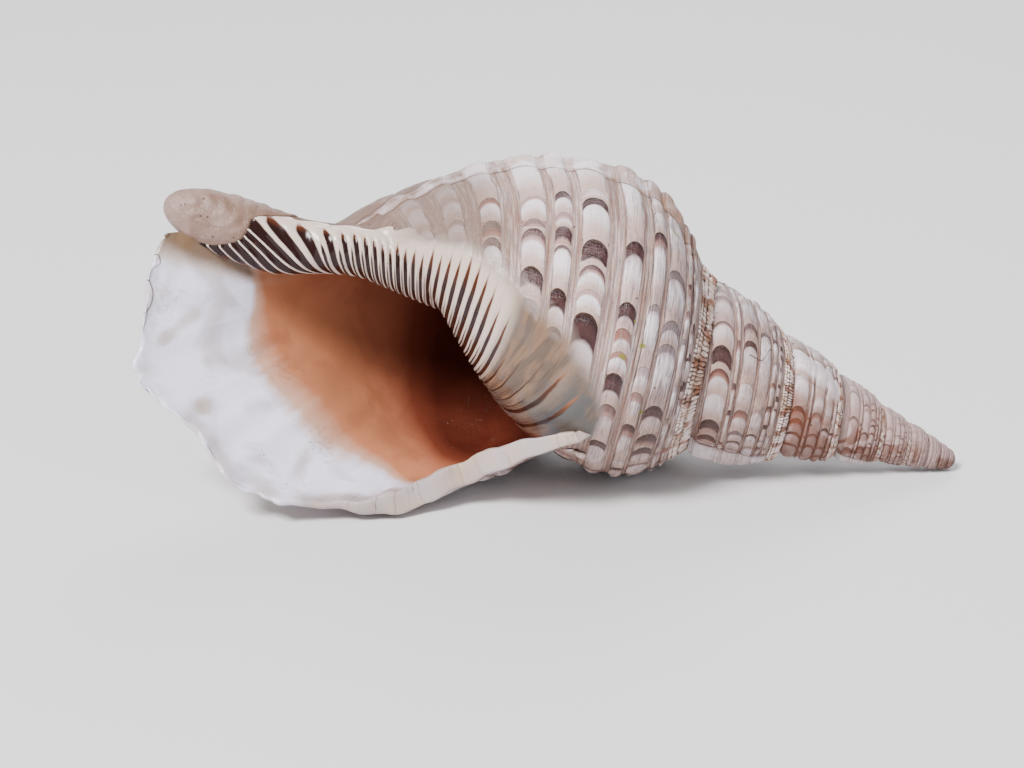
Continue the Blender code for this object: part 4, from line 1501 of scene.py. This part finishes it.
@dataclass
class Whorls:
    """The spire and the body whorl: the closed shell as far as its base."""

    spiral: Spiral
    pattern: MarkPattern
    base_ratio: float = 1.98
    spire_columns: int = 222
    body_columns: int = 560
    first_growth: float = -3700.0
    # cells in a groove, in a rib's edge, and on a rib
    spire_cells: tuple = (2, 1, 4)
    body_cells: tuple = (2, 1, 7)

    def grid(self, part: Part) -> tuple[Array, Array, Array]:
        """Growth, station ratio and world points of one stretch of whorls.

        Args:
            part: the stretch.

        Returns:
            Growth angles and ratios of shape (columns, rows), and the points.
        """
        spiral = self.spiral
        split = spiral.first_varix - 360.0
        if part is Part.SPIRE:
            turns = math.ceil((split - self.first_growth) / 360.0)
            column = np.arange(turns * self.spire_columns + 1) / self.spire_columns - turns
            column = split + 360.0 * column
            end = spiral.suture(column + 360.0) / spiral.scale(column)
            counts = self.spire_cells
        else:
            column = split + 360.0 * np.arange(self.body_columns + 1) / self.body_columns
            end = np.full_like(column, self.base_ratio)
            counts = self.body_cells
        begin = spiral.suture(column) / spiral.scale(column)
        if part is Part.SPIRE:
            first_turn = np.arange(len(column)) <= self.spire_columns
            begin = np.where(first_turn, spiral.suture(column[0]) / spiral.scale(column), begin)
        ratio = whorl_rows(spiral, column, begin, end, counts)
        growth = np.broadcast_to(column[:, None], ratio.shape)
        station = ratio * spiral.scale(growth)
        least = np.min(station)
        share = np.clip((station - least) / (spiral.worn_apex_end - least), 0.0, 1.0)
        worn = spiral.apex_station + (spiral.worn_apex_end - spiral.apex_station) * share
        station = np.where(station < spiral.worn_apex_end, worn, station)
        bearing = spiral.lip_bearing + growth
        points = spiral.points(station, spiral.solid_radius(station, bearing), bearing)
        return growth, ratio, points

    def build(self, part: Part, material: bpy.types.Material) -> bpy.types.Object:
        """Makes and dresses one stretch of whorls.

        Args:
            part: the stretch.
            material: its material.

        Returns:
            The piece.
        """
        growth, ratio, points = self.grid(part)
        attributes = whorl_attributes(self.spiral, self.pattern, growth, ratio)
        return mount(joined_poles(surface(part.value, points, attributes)), material)


@dataclass
class Neck:
    """The narrow base behind the mouth, and the siphonal tongue at its end."""

    spiral: Spiral
    base_ratio: float = 1.98
    columns: int = 240
    rows: int = 220
    deposit: float = 0.0006

    def neck(self, material: bpy.types.Material) -> bpy.types.Object:
        """The neck: a full turn of bearing, from the body whorl's last row to the tongue's end.

        Args:
            material: its material.

        Returns:
            The piece.
        """
        spiral = self.spiral
        growth = spiral.first_varix - 360.0 + 360.0 * np.arange(self.columns + 1) / self.columns
        begin = (self.base_ratio - 0.01) * spiral.scale(growth)
        share = np.linspace(0.0, 1.0, self.rows)
        share = 1.0 - (1.0 - share) ** 1.3
        station = begin[:, None] + (spiral.tongue_end - begin[:, None]) * share
        bearing = np.broadcast_to((spiral.lip_bearing + growth)[:, None], station.shape)
        points = spiral.points(station, spiral.solid_radius(station, bearing), bearing)
        neck = triple(station * 900.0 + bearing * 0.25, 1.0, 0.0)
        return mount(joined_poles(surface("neck", points, {"neck": neck})), material)

    def tongue(self, material: bpy.types.Material) -> bpy.types.Object:
        """The tongue: a layer over the columella that thins to nothing at its scalloped edge.

        The layer's thickness rises as the root of the distance from the edge, with soft waves on it.

        Args:
            material: its material.

        Returns:
            The piece.
        """
        spiral = self.spiral
        bearing = np.linspace(0.0, 360.0, self.columns, endpoint=False)[:, None]
        begin = Columella(spiral).tongue_edge(bearing)
        share = np.linspace(0.0, 1.0, self.rows)[None, :]
        share = 1.0 - (1.0 - share) ** 1.6
        station = begin + (spiral.tongue_end - begin) * share
        bearing = np.broadcast_to(bearing, station.shape)
        past = (station - begin) / 0.0016
        past = np.clip(past, 0.0, 1.0)
        thick = self.deposit * (1.35 * np.sqrt(past) - 0.35)
        thick = thick + 0.0003 * waves(np.radians(bearing) * 2.0, station * 260.0, 5, 8) * past
        rounding = np.sqrt(np.clip((spiral.tongue_end - station) / 0.006, 0.0, 1.0))
        radius = spiral.solid_radius(station, bearing) + thick * rounding
        points = spiral.points(station, radius, bearing)
        border = 1.0 - smooth_step(0.0002, 0.0013, station - begin)
        neck = triple(border * 0.0, 0.0, border)
        item = surface("siphonal_tongue", points, {"neck": neck}, close_rows=True)
        return mount(joined_poles(item), material)


@dataclass
class Columella:
    """The columella's striped ridges and the glaze (callus) spread over the body whorl beside them."""

    spiral: Spiral
    pattern: MarkPattern = field(default_factory=MarkPattern)
    rows: int = 400
    columns: int = 230
    spread: float = 4.0
    glaze: float = 0.0007
    ridge: float = 0.00045
    inner_bearing: float = -118.0
    # stations in mm from which the ribs are gone and the ridges cover everything
    upper_part: tuple = (235.0, 275.0)
    # station in mm, and the bearing at which the glaze ends
    border: tuple = (
        (159.0, -30.0), (160.0, -28.0), (161.5, -17.0), (168.7, -0.7), (180.0, 11.7), (191.0, 19.8),
        (202.4, 24.7), (215.0, 34.2), (223.7, 39.4), (236.0, 46.5), (251.6, 54.7), (264.0, 75.2),
        (285.0, 92.0), (320.0, 98.6), (334.0, 99.0), (343.0, 99.5),
    )
    # station in mm at bearing -30, and how far a stripe runs along the axis for each degree of bearing
    lean: tuple = (
        (158.0, -0.34), (184.0, -0.32), (196.0, -0.22), (208.0, -0.06), (214.0, -0.01), (225.0, 0.035),
        (236.0, 0.062), (270.0, 0.085), (285.0, 0.11), (290.0, 0.155), (294.0, 0.20), (298.0, 0.25),
        (303.0, 0.335), (340.0, 0.35),
    )
    # station in mm at bearing -30, distance between stripes there, dark share, bearing of the tips
    stripes: tuple = (
        (158.0, 8.0, 0.00, -60.0), (173.0, 9.0, 0.00, -30.0), (176.5, 9.0, 0.13, -13.0),
        (182.0, 9.5, 0.22, -5.0), (192.0, 8.0, 0.26, 2.0), (199.0, 6.0, 0.10, 8.0), (206.0, 4.5, 0.16, -5.0),
        (212.0, 3.9, 0.34, 10.0), (218.0, 3.5, 0.46, 22.0), (228.0, 3.4, 0.52, 36.0),
        (240.0, 3.3, 0.54, 42.0), (262.0, 3.2, 0.52, 50.0), (276.0, 4.4, 0.50, 62.0),
        (284.0, 6.0, 0.48, 74.0), (292.0, 5.4, 0.60, 80.0), (300.0, 7.0, 0.78, 80.0),
        (318.0, 8.0, 0.82, 78.0), (340.0, 8.0, 0.82, 70.0),
    )
    # bearing, and the station at which the tongue's pale layer begins
    lobe: tuple = (
        (-180.0, 0.3320), (-120.0, 0.3400), (-70.0, 0.3400), (-56.0, 0.3365), (-50.0, 0.3325),
        (-38.7, 0.3286), (-22.5, 0.3241), (0.0, 0.3218), (24.0, 0.3212), (49.0, 0.3214), (61.7, 0.3199),
        (68.8, 0.3177), (76.4, 0.3147), (87.9, 0.3089), (100.0, 0.3050), (114.0, 0.3035), (140.0, 0.3110),
        (180.0, 0.3320),
    )

    def tongue_edge(self, bearing: Array) -> Array:
        """Where the tongue's pale layer begins: a round lobe with fine scallops."""
        bearing = (bearing + 180.0) % 360.0 - 180.0
        return curve(self.lobe, 1, bearing) + 0.00022 * waves(bearing / 3.2, 0.0, 17, 5)

    def stripe_line(self, station: Array, bearing: Array) -> Array:
        """Follows the stripe through a point, by halving a range.

        Args:
            station: stations along the axis, in metres.
            bearing: bearings round it.

        Returns:
            Station in mm at which the stripe crosses bearing -30.
        """
        low, high = np.full_like(station, 90.0), np.full_like(station, 430.0)
        for _ in range(24):
            middle = 0.5 * (low + high)
            short = middle + curve(self.lean, 1, middle) * (bearing + 30.0) < station * 1000.0
            low, high = np.where(short, middle, low), np.where(short, high, middle)
        return 0.5 * (low + high)

    def stripe_count(self, line: Array) -> Array:
        """Number of stripes up to a line: the sum of 1 over the distance between stripes.

        Args:
            line: stations in mm at bearing -30.

        Returns:
            Numbers of stripes, with fractions.
        """
        at = np.linspace(100.0, 400.0, 1200)
        steps = np.diff(at) / curve(self.stripes, 1, 0.5 * (at[1:] + at[:-1]))
        return np.interp(line, at, np.concatenate([[0.0], np.cumsum(steps)]))

    def build(self, material: bpy.types.Material) -> bpy.types.Object:
        """Makes and dresses the glaze: a layer over the closed shell, with low ridges between stripes.

        The layer fills the grooves between the ribs and thins out to its border. Its ridges are a
        cosine of the stripe count.

        Args:
            material: its material.

        Returns:
            The piece.
        """
        spiral = self.spiral
        station = np.linspace(self.border[0][0], self.border[-1][0], self.rows)[:, None]
        upper = smooth_step(*self.upper_part, station)
        high = curve(self.border, 1, station) + self.spread * (1.0 - upper)
        share = np.linspace(0.0, 1.0, self.columns)[None, :]
        bearing = self.inner_bearing + (high - self.inner_bearing) * share
        station = np.broadcast_to(station, bearing.shape) / 1000.0
        line = self.stripe_line(station, bearing)
        count = self.stripe_count(line)
        width = curve(self.stripes, 2, line)
        tip = curve(self.stripes, 3, line)
        reach = (tip - bearing) / 24.0
        low = 160.0 + 0.42 * np.clip(-28.0 - bearing, 0.0, 30.0)
        end = np.minimum((high - bearing) / 9.0, (station * 1000.0 - low) / 3.0)
        under = (self.tongue_edge(bearing) + 0.0012 - station) / 0.0020
        fade = np.sqrt(np.clip(end, 0.0, 1.0)) * np.clip(under, 0.0, 1.0)
        smooth = spiral.solid_radius(station, bearing, ribbed=False)
        ribbed = spiral.solid_radius(station, bearing)
        ribs = 1.25 * spiral.rib_height * (1.0 - upper)
        lift = (self.glaze + ribs) * fade - 0.0002
        cover = np.clip(end * 0.6, 0.0, 1.0)
        layer = np.maximum(smooth + lift, ribbed + 0.0002) - ribbed
        radius = ribbed + layer * cover - 0.0002 * (1.0 - cover)
        wave = np.cos(2.0 * np.pi * count)
        grooved = smooth_step(0.0, 0.35, width) * smooth_step(-0.4, 0.8, reach)
        radius = radius - self.ridge * wave * grooved * fade
        radius = radius + 0.0004 * waves(bearing / 14.0, station * 130.0, 3, 7) * fade * (1.0 - grooved)
        radius = np.maximum(radius, ribbed + 0.00008 * cover - 0.0002 * (1.0 - cover))
        points = spiral.points(station, radius, bearing)
        inner = 1.0 - smooth_step(-95.0, -62.0, bearing)
        striped = smooth_step(0.22, 0.44, width) * smooth_step(-1.2, 0.3, reach)
        growth = spiral.newest_growth(station, bearing)
        attributes = whorl_attributes(spiral, self.pattern, growth, station / spiral.scale(growth))
        attributes["stripe"] = triple(count, width, reach)
        attributes["callus"] = triple(inner, striped, upper)
        attributes["border"] = triple(end, 1.0 - upper, 0.0)
        item = surface("columella", points, attributes, flip=True)
        return mount(item, material)


@dataclass
class LastWhorl:
    """The last half turn: the outside of the sheet, and the lip with the lining of the mouth."""

    spiral: Spiral
    flare: Flare
    pattern: MarkPattern
    columns: int = 230
    edge_steps: int = 12
    lining_rows: int = 410
    # cells in a groove, in a rib's edge, and on a rib
    cells: tuple = (2, 1, 7)
    # place along the growing edge, the growth angle at which the white lip turns orange, and how fast
    # it darkens further in, a darkening that stands partly for painted shade
    throat: tuple = (
        (0.00, 16.0, 3.2), (0.10, 8.0, 3.4), (0.28, -5.0, 3.4), (0.40, -14.0, 2.0), (0.50, -17.0, 1.15),
        (0.60, -18.0, 0.72), (0.70, -23.0, 0.66), (0.80, -32.0, 0.70), (0.91, -52.0, 0.80),
        (1.00, -62.0, 1.00),
    )

    def sheet_grid(self, place: Array | None = None) -> tuple[Array, Array]:
        """Growth and place over the sheet, from its start to the lip.

        The growth runs evenly from the start to the lip's own angle at that place, which is found by
        repeated correction where rows follow the ribs.

        Args:
            place: fixed places of the rows, or None for rows that follow the ribs.

        Returns:
            Growth angles and places of shape (columns, rows).
        """
        share = np.linspace(0.0, 1.0, self.columns + 1)
        share = (1.0 - (1.0 - share) ** 1.15)[:, None]
        start = self.flare.start
        if place is not None:
            place = np.broadcast_to(place[None, :], (self.columns + 1, len(place)))
            return start + (self.flare.edge_growth(place) - start) * share, place
        growth = start - start * share
        for _ in range(4):
            column = growth[:, growth.shape[1] // 2]
            begin = self.flare.seam_ratio(column)
            end = np.full_like(column, self.spiral.outline_end)
            rows = whorl_rows(self.spiral, column, begin, end, self.cells)
            place = np.clip(self.flare.place_of(column[:, None], rows), 0.0, 1.0)
            growth = start + (self.flare.edge_growth(place) - start) * share
        return growth, place

    def outer_points(self, growth: Array, place: Array, ribbed: bool = True) -> Array:
        """World points of the outer face."""
        station, radius = self.flare.outer(growth, place, ribbed)
        return self.spiral.points(station, radius, self.spiral.lip_bearing + growth)

    def outside(self, material: bpy.types.Material) -> bpy.types.Object:
        """Makes and dresses the outside of the last half turn.

        Args:
            material: its material.

        Returns:
            The piece.
        """
        growth, place = self.sheet_grid()
        ratio = self.flare.ratio_of(growth, place)
        attributes = whorl_attributes(self.spiral, self.pattern, growth, ratio)
        return mount(surface("last_whorl", self.outer_points(growth, place), attributes), material)

    def inner_points(self, growth: Array, place: Array) -> tuple[Array, Array, Array]:
        """The lining: the outer face without its ribs, moved in by the wall, with soft folds.

        Args:
            growth: growth angles.
            place: places along the growing edge.

        Returns:
            World points, unit vectors inward, and the steps along the growth.
        """
        flare = self.flare
        smooth = self.outer_points(growth, place, ribbed=False)
        calm = LastWhorl(self.spiral, replace(flare, scallop=0.0), self.pattern)
        calm = calm.outer_points(growth, place, ribbed=False)
        along = np.gradient(calm, axis=0)
        inward = np.cross(along, np.gradient(calm, axis=1))
        inward /= np.linalg.norm(inward, axis=-1, keepdims=True)
        middle = self.spiral.points(flare.outer(growth, place)[0], np.zeros_like(growth),
                                    self.spiral.lip_bearing + growth)
        if np.sum(inward * (middle - smooth)) < 0.0:
            inward = -inward
        from_lip = flare.edge_growth(place) - growth
        soft = 1.0 - smooth_step(8.0, 55.0, from_lip)
        folds = 0.00075 * waves(place * 26.0, growth / 40.0, 11, 7) * soft
        upper = 1.0 - 0.6 * smooth_step(0.36, 0.46, place)
        teeth = 0.0003 * waves(place * 60.0, growth / 30.0, 12, 5) * bump_at(from_lip, 0.0, 3.0) * upper
        depth = flare.thickness(growth, place) - folds - teeth
        return smooth + inward * depth[..., None], inward, along

    def lining(self, material: bpy.types.Material) -> bpy.types.Object:
        """Makes and dresses the lip and the lining.

        Between the outer face and the lining, the lip's edge is a flat oval: the half thickness times
        powers of a cosine and a sine.

        Args:
            material: its material.

        Returns:
            The piece.
        """
        flare = self.flare
        growth, place = self.sheet_grid(np.linspace(0.0, 1.0, self.lining_rows))
        outer = self.outer_points(growth[-1:], place[-1:])
        inner, inward, along = self.inner_points(growth, place)
        out = along[-1] / np.linalg.norm(along[-1], axis=-1, keepdims=True)
        half = flare.thickness(growth[-1], place[-1])[:, None] * 0.5
        broad = (1.0 - smooth_step(0.30, 0.42, place[-1]))[:, None]
        power = 1.0 - 0.5 * broad
        turn = np.linspace(0.0, np.pi, self.edge_steps + 2)[1:-1, None, None]
        side = np.sign(np.cos(turn)) * np.abs(np.cos(turn)) ** power
        rim = outer[0] + inward[-1] * half * (1.0 - side)
        rim = rim + out * half * (0.8 - 0.45 * broad) * np.sin(turn) ** power
        points = np.concatenate([outer, rim, inner[::-1]], axis=0)

        extra = self.edge_steps + 1
        growth = np.concatenate([np.repeat(growth[-1:], extra, axis=0), growth[::-1]], axis=0)
        place = np.concatenate([np.repeat(place[-1:], extra, axis=0), place[::-1]], axis=0)
        inwardness = curve(self.throat, 1, place) - growth
        deeper = inwardness * curve(self.throat, 2, place)
        inwardness = np.where(inwardness > 0.0, deeper, inwardness)
        from_edge = flare.edge_growth(place) - growth
        left = smooth_step(0.42, 0.50, place)
        # beige patches on the left of the lip, partly their own beige and partly painted shade of the hollows
        # between its swells
        beige_and_hollow_shade = smooth_step(0.0, 1.2, 0.15 + waves(place * 27.0, from_edge / 11.0, 77, 6))
        beige_and_hollow_shade = 0.75 * beige_and_hollow_shade * left * smooth_step(0.3, 5.0, from_edge)
        outer_end = 8.0 + 3.5 * waves(place * 16.0, 0.0, 78, 4)
        beige_and_hollow_shade = beige_and_hollow_shade * (1.0 - smooth_step(outer_end, outer_end + 14.0, from_edge))
        rim_share = (1.0 - smooth_step(0.5, 6.0, from_edge)) * (1.0 - 0.6 * left)
        rim_share = np.maximum(rim_share, 1.15 * beige_and_hollow_shade)
        # share of the brown band under the tongue, painted shadow of the tongue and partly stain
        tongue_shadow_share = smooth_step(-0.030, 0.036, place - 0.955 - 0.00137 * (growth + 5.0))
        attributes = {
            "lip": triple(inwardness, rim_share, place),
            "canal": triple(tongue_shadow_share, from_edge, 0.0),
        }
        return mount(surface("outer_lip", points, attributes), material)


@dataclass
class BeadedCords:
    """The rows of beads that run along the seam on each whorl."""

    spiral: Spiral
    flare: Flare
    per_turn: int = 1450
    old_per_turn: int = 900
    rows: int = 26
    oldest: float = -2050.0
    middle: float = -914.0
    reach: float = 0.064
    # place above the seam over the scale, half width, beads in a turn, height in metres at the lip's size
    cords: tuple = (
        (0.0160, 0.0168, 128.0, 0.00210), (0.0420, 0.0090, 116.0, 0.00145),
        (0.0570, 0.0058, 140.0, 0.00075),
    )

    def relief(self, growth: Array, above: Array) -> tuple[Array, Array]:
        """Height of the beads, and how near a point is to a bead's crown.

        Each bead is a rounded cushion, the root of 1 less a power of the distance from its middle each
        way, on a low cord. Its place and size are shifted a little by its number.

        Args:
            growth: growth angles.
            above: station ratio above the seam.

        Returns:
            Heights in metres at the lip's size, and shares from 0 to 1.
        """
        height = np.zeros_like(growth)
        crown = np.zeros_like(growth)
        for number, (centre, half, beads, tall) in enumerate(self.cords):
            phase = growth / 360.0 * beads + 0.55 * waves(growth / 14.0, 0.0, 40 + number, 4)
            phase = phase + (above - centre) * 9.0
            phase = phase + 0.13 * waves(growth / 3.0, above * 110.0, 80 + number, 5)
            order = np.floor(phase)
            chance = (np.sin(order * 12.9898 + number * 78.233) * 4375.85) % 1.0
            other = (np.sin(order * 39.3467 + number * 11.135) * 2634.27) % 1.0
            size = 0.82 + 0.28 * chance
            across = above - centre - (other - 0.5) * 0.18 * half
            across = across + 0.0014 * waves(growth / 5.0, above * 40.0, 90 + number, 5)
            across = across / (half * size)
            along = (phase - order - 0.5) / (0.37 + 0.11 * other)
            cushion = np.sqrt(np.clip(1.0 - np.abs(across) ** 3.0 - np.abs(along) ** 2.2, 0.0, 1.0))
            cord = np.sqrt(np.clip(1.0 - ((above - centre) / half) ** 2, 0.0, 1.0))
            height = height + tall * np.maximum(0.20 * cord, cushion * size)
            crown = np.maximum(crown, np.maximum(0.10 * cord, cushion))
        return height, crown

    def grid(self, first: float, last: float, per_turn: int) -> tuple[Array, Array, Array]:
        """Lays out one run of cords.

        Args:
            first: its oldest growth angle.
            last: its newest growth angle.
            per_turn: columns in a turn.

        Returns:
            Growth angles, station ratios, and ratios above the seam.
        """
        count = int((last - first) / 360.0 * per_turn)
        growth = np.linspace(first, last, count)[:, None]
        above = np.linspace(0.0002, self.reach, self.rows)[None, :]
        growth, above = np.broadcast_arrays(growth, above)
        ratio = self.spiral.suture(growth) / self.spiral.scale(growth) + above
        return growth.copy(), ratio, above.copy()

    def dress(self, name: str, points: Array, growth: Array, above: Array, crown: Array,
              material: bpy.types.Material) -> bpy.types.Object:
        """Makes the object of one run of cords, stained in patches.

        Args:
            name: the piece's name.
            points: world points.
            growth: growth angles.
            above: ratios above the seam.
            crown: how near a point is to a bead's crown.
            material: its material.

        Returns:
            The piece.
        """
        stain = smooth_step(-0.2, 0.9, waves(growth / 6.5, above * 25.0, 60, 6))
        return mount(surface(name, points, {"cord": triple(crown, stain, 0.0)}), material)

    def lift(self, growth: Array, above: Array, height: Array) -> Array:
        """Height of the layer: beads scaled to the whorl, sunk at the border away from the seam.

        Args:
            growth: growth angles.
            above: ratios above the seam.
            height: heights of the beads at the lip's size.

        Returns:
            Heights in metres.
        """
        size = (self.spiral.scale(growth) / self.spiral.lip_scale) ** 0.9
        border = smooth_step(self.reach, self.reach - 0.006, above)
        return (height * border + 0.00015 * border - 0.0004 * (1.0 - border)) * size

    def closed(self, name: str, first: float, last: float, per_turn: int,
               material: bpy.types.Material) -> bpy.types.Object:
        """The cords of a run of the closed shell, which fade out at its oldest end.

        Args:
            name: the piece's name.
            first: its oldest growth angle.
            last: its newest growth angle.
            per_turn: columns in a turn.
            material: its material.

        Returns:
            The piece.
        """
        spiral = self.spiral
        growth, ratio, above = self.grid(first, last, per_turn)
        height, crown = self.relief(growth, above)
        station = ratio * spiral.scale(growth)
        bearing = spiral.lip_bearing + growth
        ending = smooth_step(self.oldest, self.oldest + 200.0, growth)
        radius = spiral.solid_radius(station, bearing) + self.lift(growth, above, height * ending)
        points = spiral.points(station, radius, bearing)
        return self.dress(name, points, growth, above, crown * ending, material)

    def newest(self, material: bpy.types.Material) -> bpy.types.Object:
        """The cords of the last half turn.

        Args:
            material: its material.

        Returns:
            The piece.
        """
        growth, ratio, above = self.grid(self.spiral.first_varix - 2.0, 18.0, self.per_turn)
        height, crown = self.relief(growth, above)
        station, radius = self.flare.outer(growth, self.flare.place_of(growth, ratio))
        radius = radius + self.lift(growth, above, height)
        points = self.spiral.points(station, radius, self.spiral.lip_bearing + growth)
        return self.dress("last_cords", points, growth, above, crown, material)

    def build(self, material: bpy.types.Material) -> None:
        """Makes and dresses all the cords.

        Args:
            material: their material.
        """
        newest = self.spiral.first_varix + 1.0
        self.closed("spire_cords", self.oldest, self.middle + 0.4, self.old_per_turn, material)
        self.closed("beaded_cords", self.middle, newest, self.per_turn, material)
        self.newest(material)


# The studio

@dataclass
class Studio:
    """Pale floor, soft lights and the camera."""

    spiral: Spiral
    elevation: float = math.radians(21.7)
    azimuth: float = math.radians(1.62)
    distance: float = 0.800
    focal_px: float = 1927.36
    width_px: float = 1024.0
    aim_right: float = -0.0170
    aim_up: float = -0.01687
    aim_height: float = 0.060
    fitted_apex: tuple = (0.178, 0.015, 0.0)
    sensor: float = 36.0
    floor_half: float = 6.0
    floor_height: float = -0.0004
    light_aim: tuple = (-0.02, 0.0, 0.06)

    def floor(self) -> bpy.types.Object:
        """A pale plane under the shell.

        Returns:
            The floor.
        """
        side = np.linspace(-self.floor_half, self.floor_half, 3)
        points = triple(side[:, None], side[None, :], self.floor_height)
        item = surface("studio_floor", points, {}, flip=True)
        sheet = new_sheet("studio_paper")
        shader = sheet.material.node_tree.nodes["Principled BSDF"]
        shader.inputs["Base Color"].default_value = (0.74, 0.74, 0.75, 1.0)
        shader.inputs["Roughness"].default_value = 0.7
        item.data.materials.append(sheet.material)
        return item

    def lamp(self, name: str, at: tuple, size: float, power: float, tint: tuple) -> bpy.types.Object:
        """A square soft light that faces the shell.

        Args:
            name: its name.
            at: its place.
            size: its side in metres.
            power: its power in watts.
            tint: its colour.

        Returns:
            The light.
        """
        data = bpy.data.lights.new(name, "AREA")
        data.shape = "SQUARE"
        data.size = size
        data.energy = power
        data.color = tint
        item = bpy.data.objects.new(name, data)
        back = np.array(at) - np.array(self.light_aim)
        back /= np.linalg.norm(back)
        right = np.cross([0.0, 0.0, 1.0], back)
        right /= np.linalg.norm(right)
        item.matrix_world = self.frame_of(right, np.cross(back, right), back, np.array(at))
        bpy.context.scene.collection.objects.link(item)
        return item

    @staticmethod
    def frame_of(right: Array, up: Array, back: Array, at: Array) -> Matrix:
        """The place and attitude of a light or the camera.

        Args:
            right: its axis to the right.
            up: its axis upward.
            back: its axis away from what it faces.
            at: its place.

        Returns:
            The matrix.
        """
        matrix = np.eye(4)
        matrix[:3, 0] = right
        matrix[:3, 1] = up
        matrix[:3, 2] = back
        matrix[:3, 3] = at
        return Matrix(matrix.tolist())

    def camera(self) -> bpy.types.Object:
        """The camera, at the angle and distance from which the shell is seen.

        Returns:
            The camera.
        """
        e, a = self.elevation, self.azimuth
        back = np.array([math.sin(a) * math.cos(e), -math.cos(a) * math.cos(e), math.sin(e)])
        right = np.array([math.cos(a), math.sin(a), 0.0])
        up = np.cross(back, right)
        moved = np.array(self.spiral.apex) - np.array(self.fitted_apex)
        at = np.array([0.0, 0.0, self.aim_height]) + right * self.aim_right + up * self.aim_up
        at = at + back * self.distance + moved
        data = bpy.data.cameras.new("studio_camera")
        data.sensor_width = self.sensor
        data.lens = self.sensor * self.focal_px / self.width_px
        data.dof.use_dof = False
        item = bpy.data.objects.new("studio_camera", data)
        item.matrix_world = self.frame_of(right, up, back, at)
        bpy.context.scene.collection.objects.link(item)
        bpy.context.scene.camera = item
        return item

    def world(self) -> None:
        """Even pale surroundings."""
        world = bpy.data.worlds.new("studio_room")
        world.use_nodes = True
        back = world.node_tree.nodes["Background"]
        back.inputs["Color"].default_value = (0.80, 0.83, 0.88, 1.0)
        back.inputs["Strength"].default_value = 0.52
        bpy.context.scene.world = world

    def build(self) -> None:
        """Sets up the whole studio."""
        self.floor()
        self.world()
        self.lamp("key_light", (-1.7, -2.0, 3.3), 1.3, 385.0, (1.0, 0.975, 0.94))
        self.lamp("fill_light", (2.8, -2.2, 1.6), 2.4, 36.0, (0.93, 0.96, 1.0))
        self.lamp("back_light", (0.6, 3.0, 2.4), 2.0, 80.0, (1.0, 1.0, 1.0))
        self.camera()
        LOG.info("studio: floor, three soft lights and the camera")


def main() -> None:
    """Builds the shell's pieces in order, then the studio."""
    logging.basicConfig(level=logging.INFO, format="%(name)s: %(message)s")
    spiral = Spiral()
    pattern = MarkPattern()
    flare = Flare(spiral)
    whorl_glaze = WhorlFinish().material()
    mouth_glaze = MouthFinish().material()
    columella_glaze = ColumellaFinish().material()
    tongue_glaze = TongueFinish().material()
    whorls = Whorls(spiral, pattern)
    whorls.build(Part.SPIRE, whorl_glaze)
    whorls.build(Part.BODY, whorl_glaze)
    neck = Neck(spiral)
    neck.neck(tongue_glaze)
    neck.tongue(tongue_glaze)
    Columella(spiral, pattern).build(columella_glaze)
    last = LastWhorl(spiral, flare, pattern)
    last.outside(whorl_glaze)
    last.lining(mouth_glaze)
    BeadedCords(spiral, flare).build(CordFinish().material())
    Studio(spiral).build()


if __name__ == "__main__":
    main()
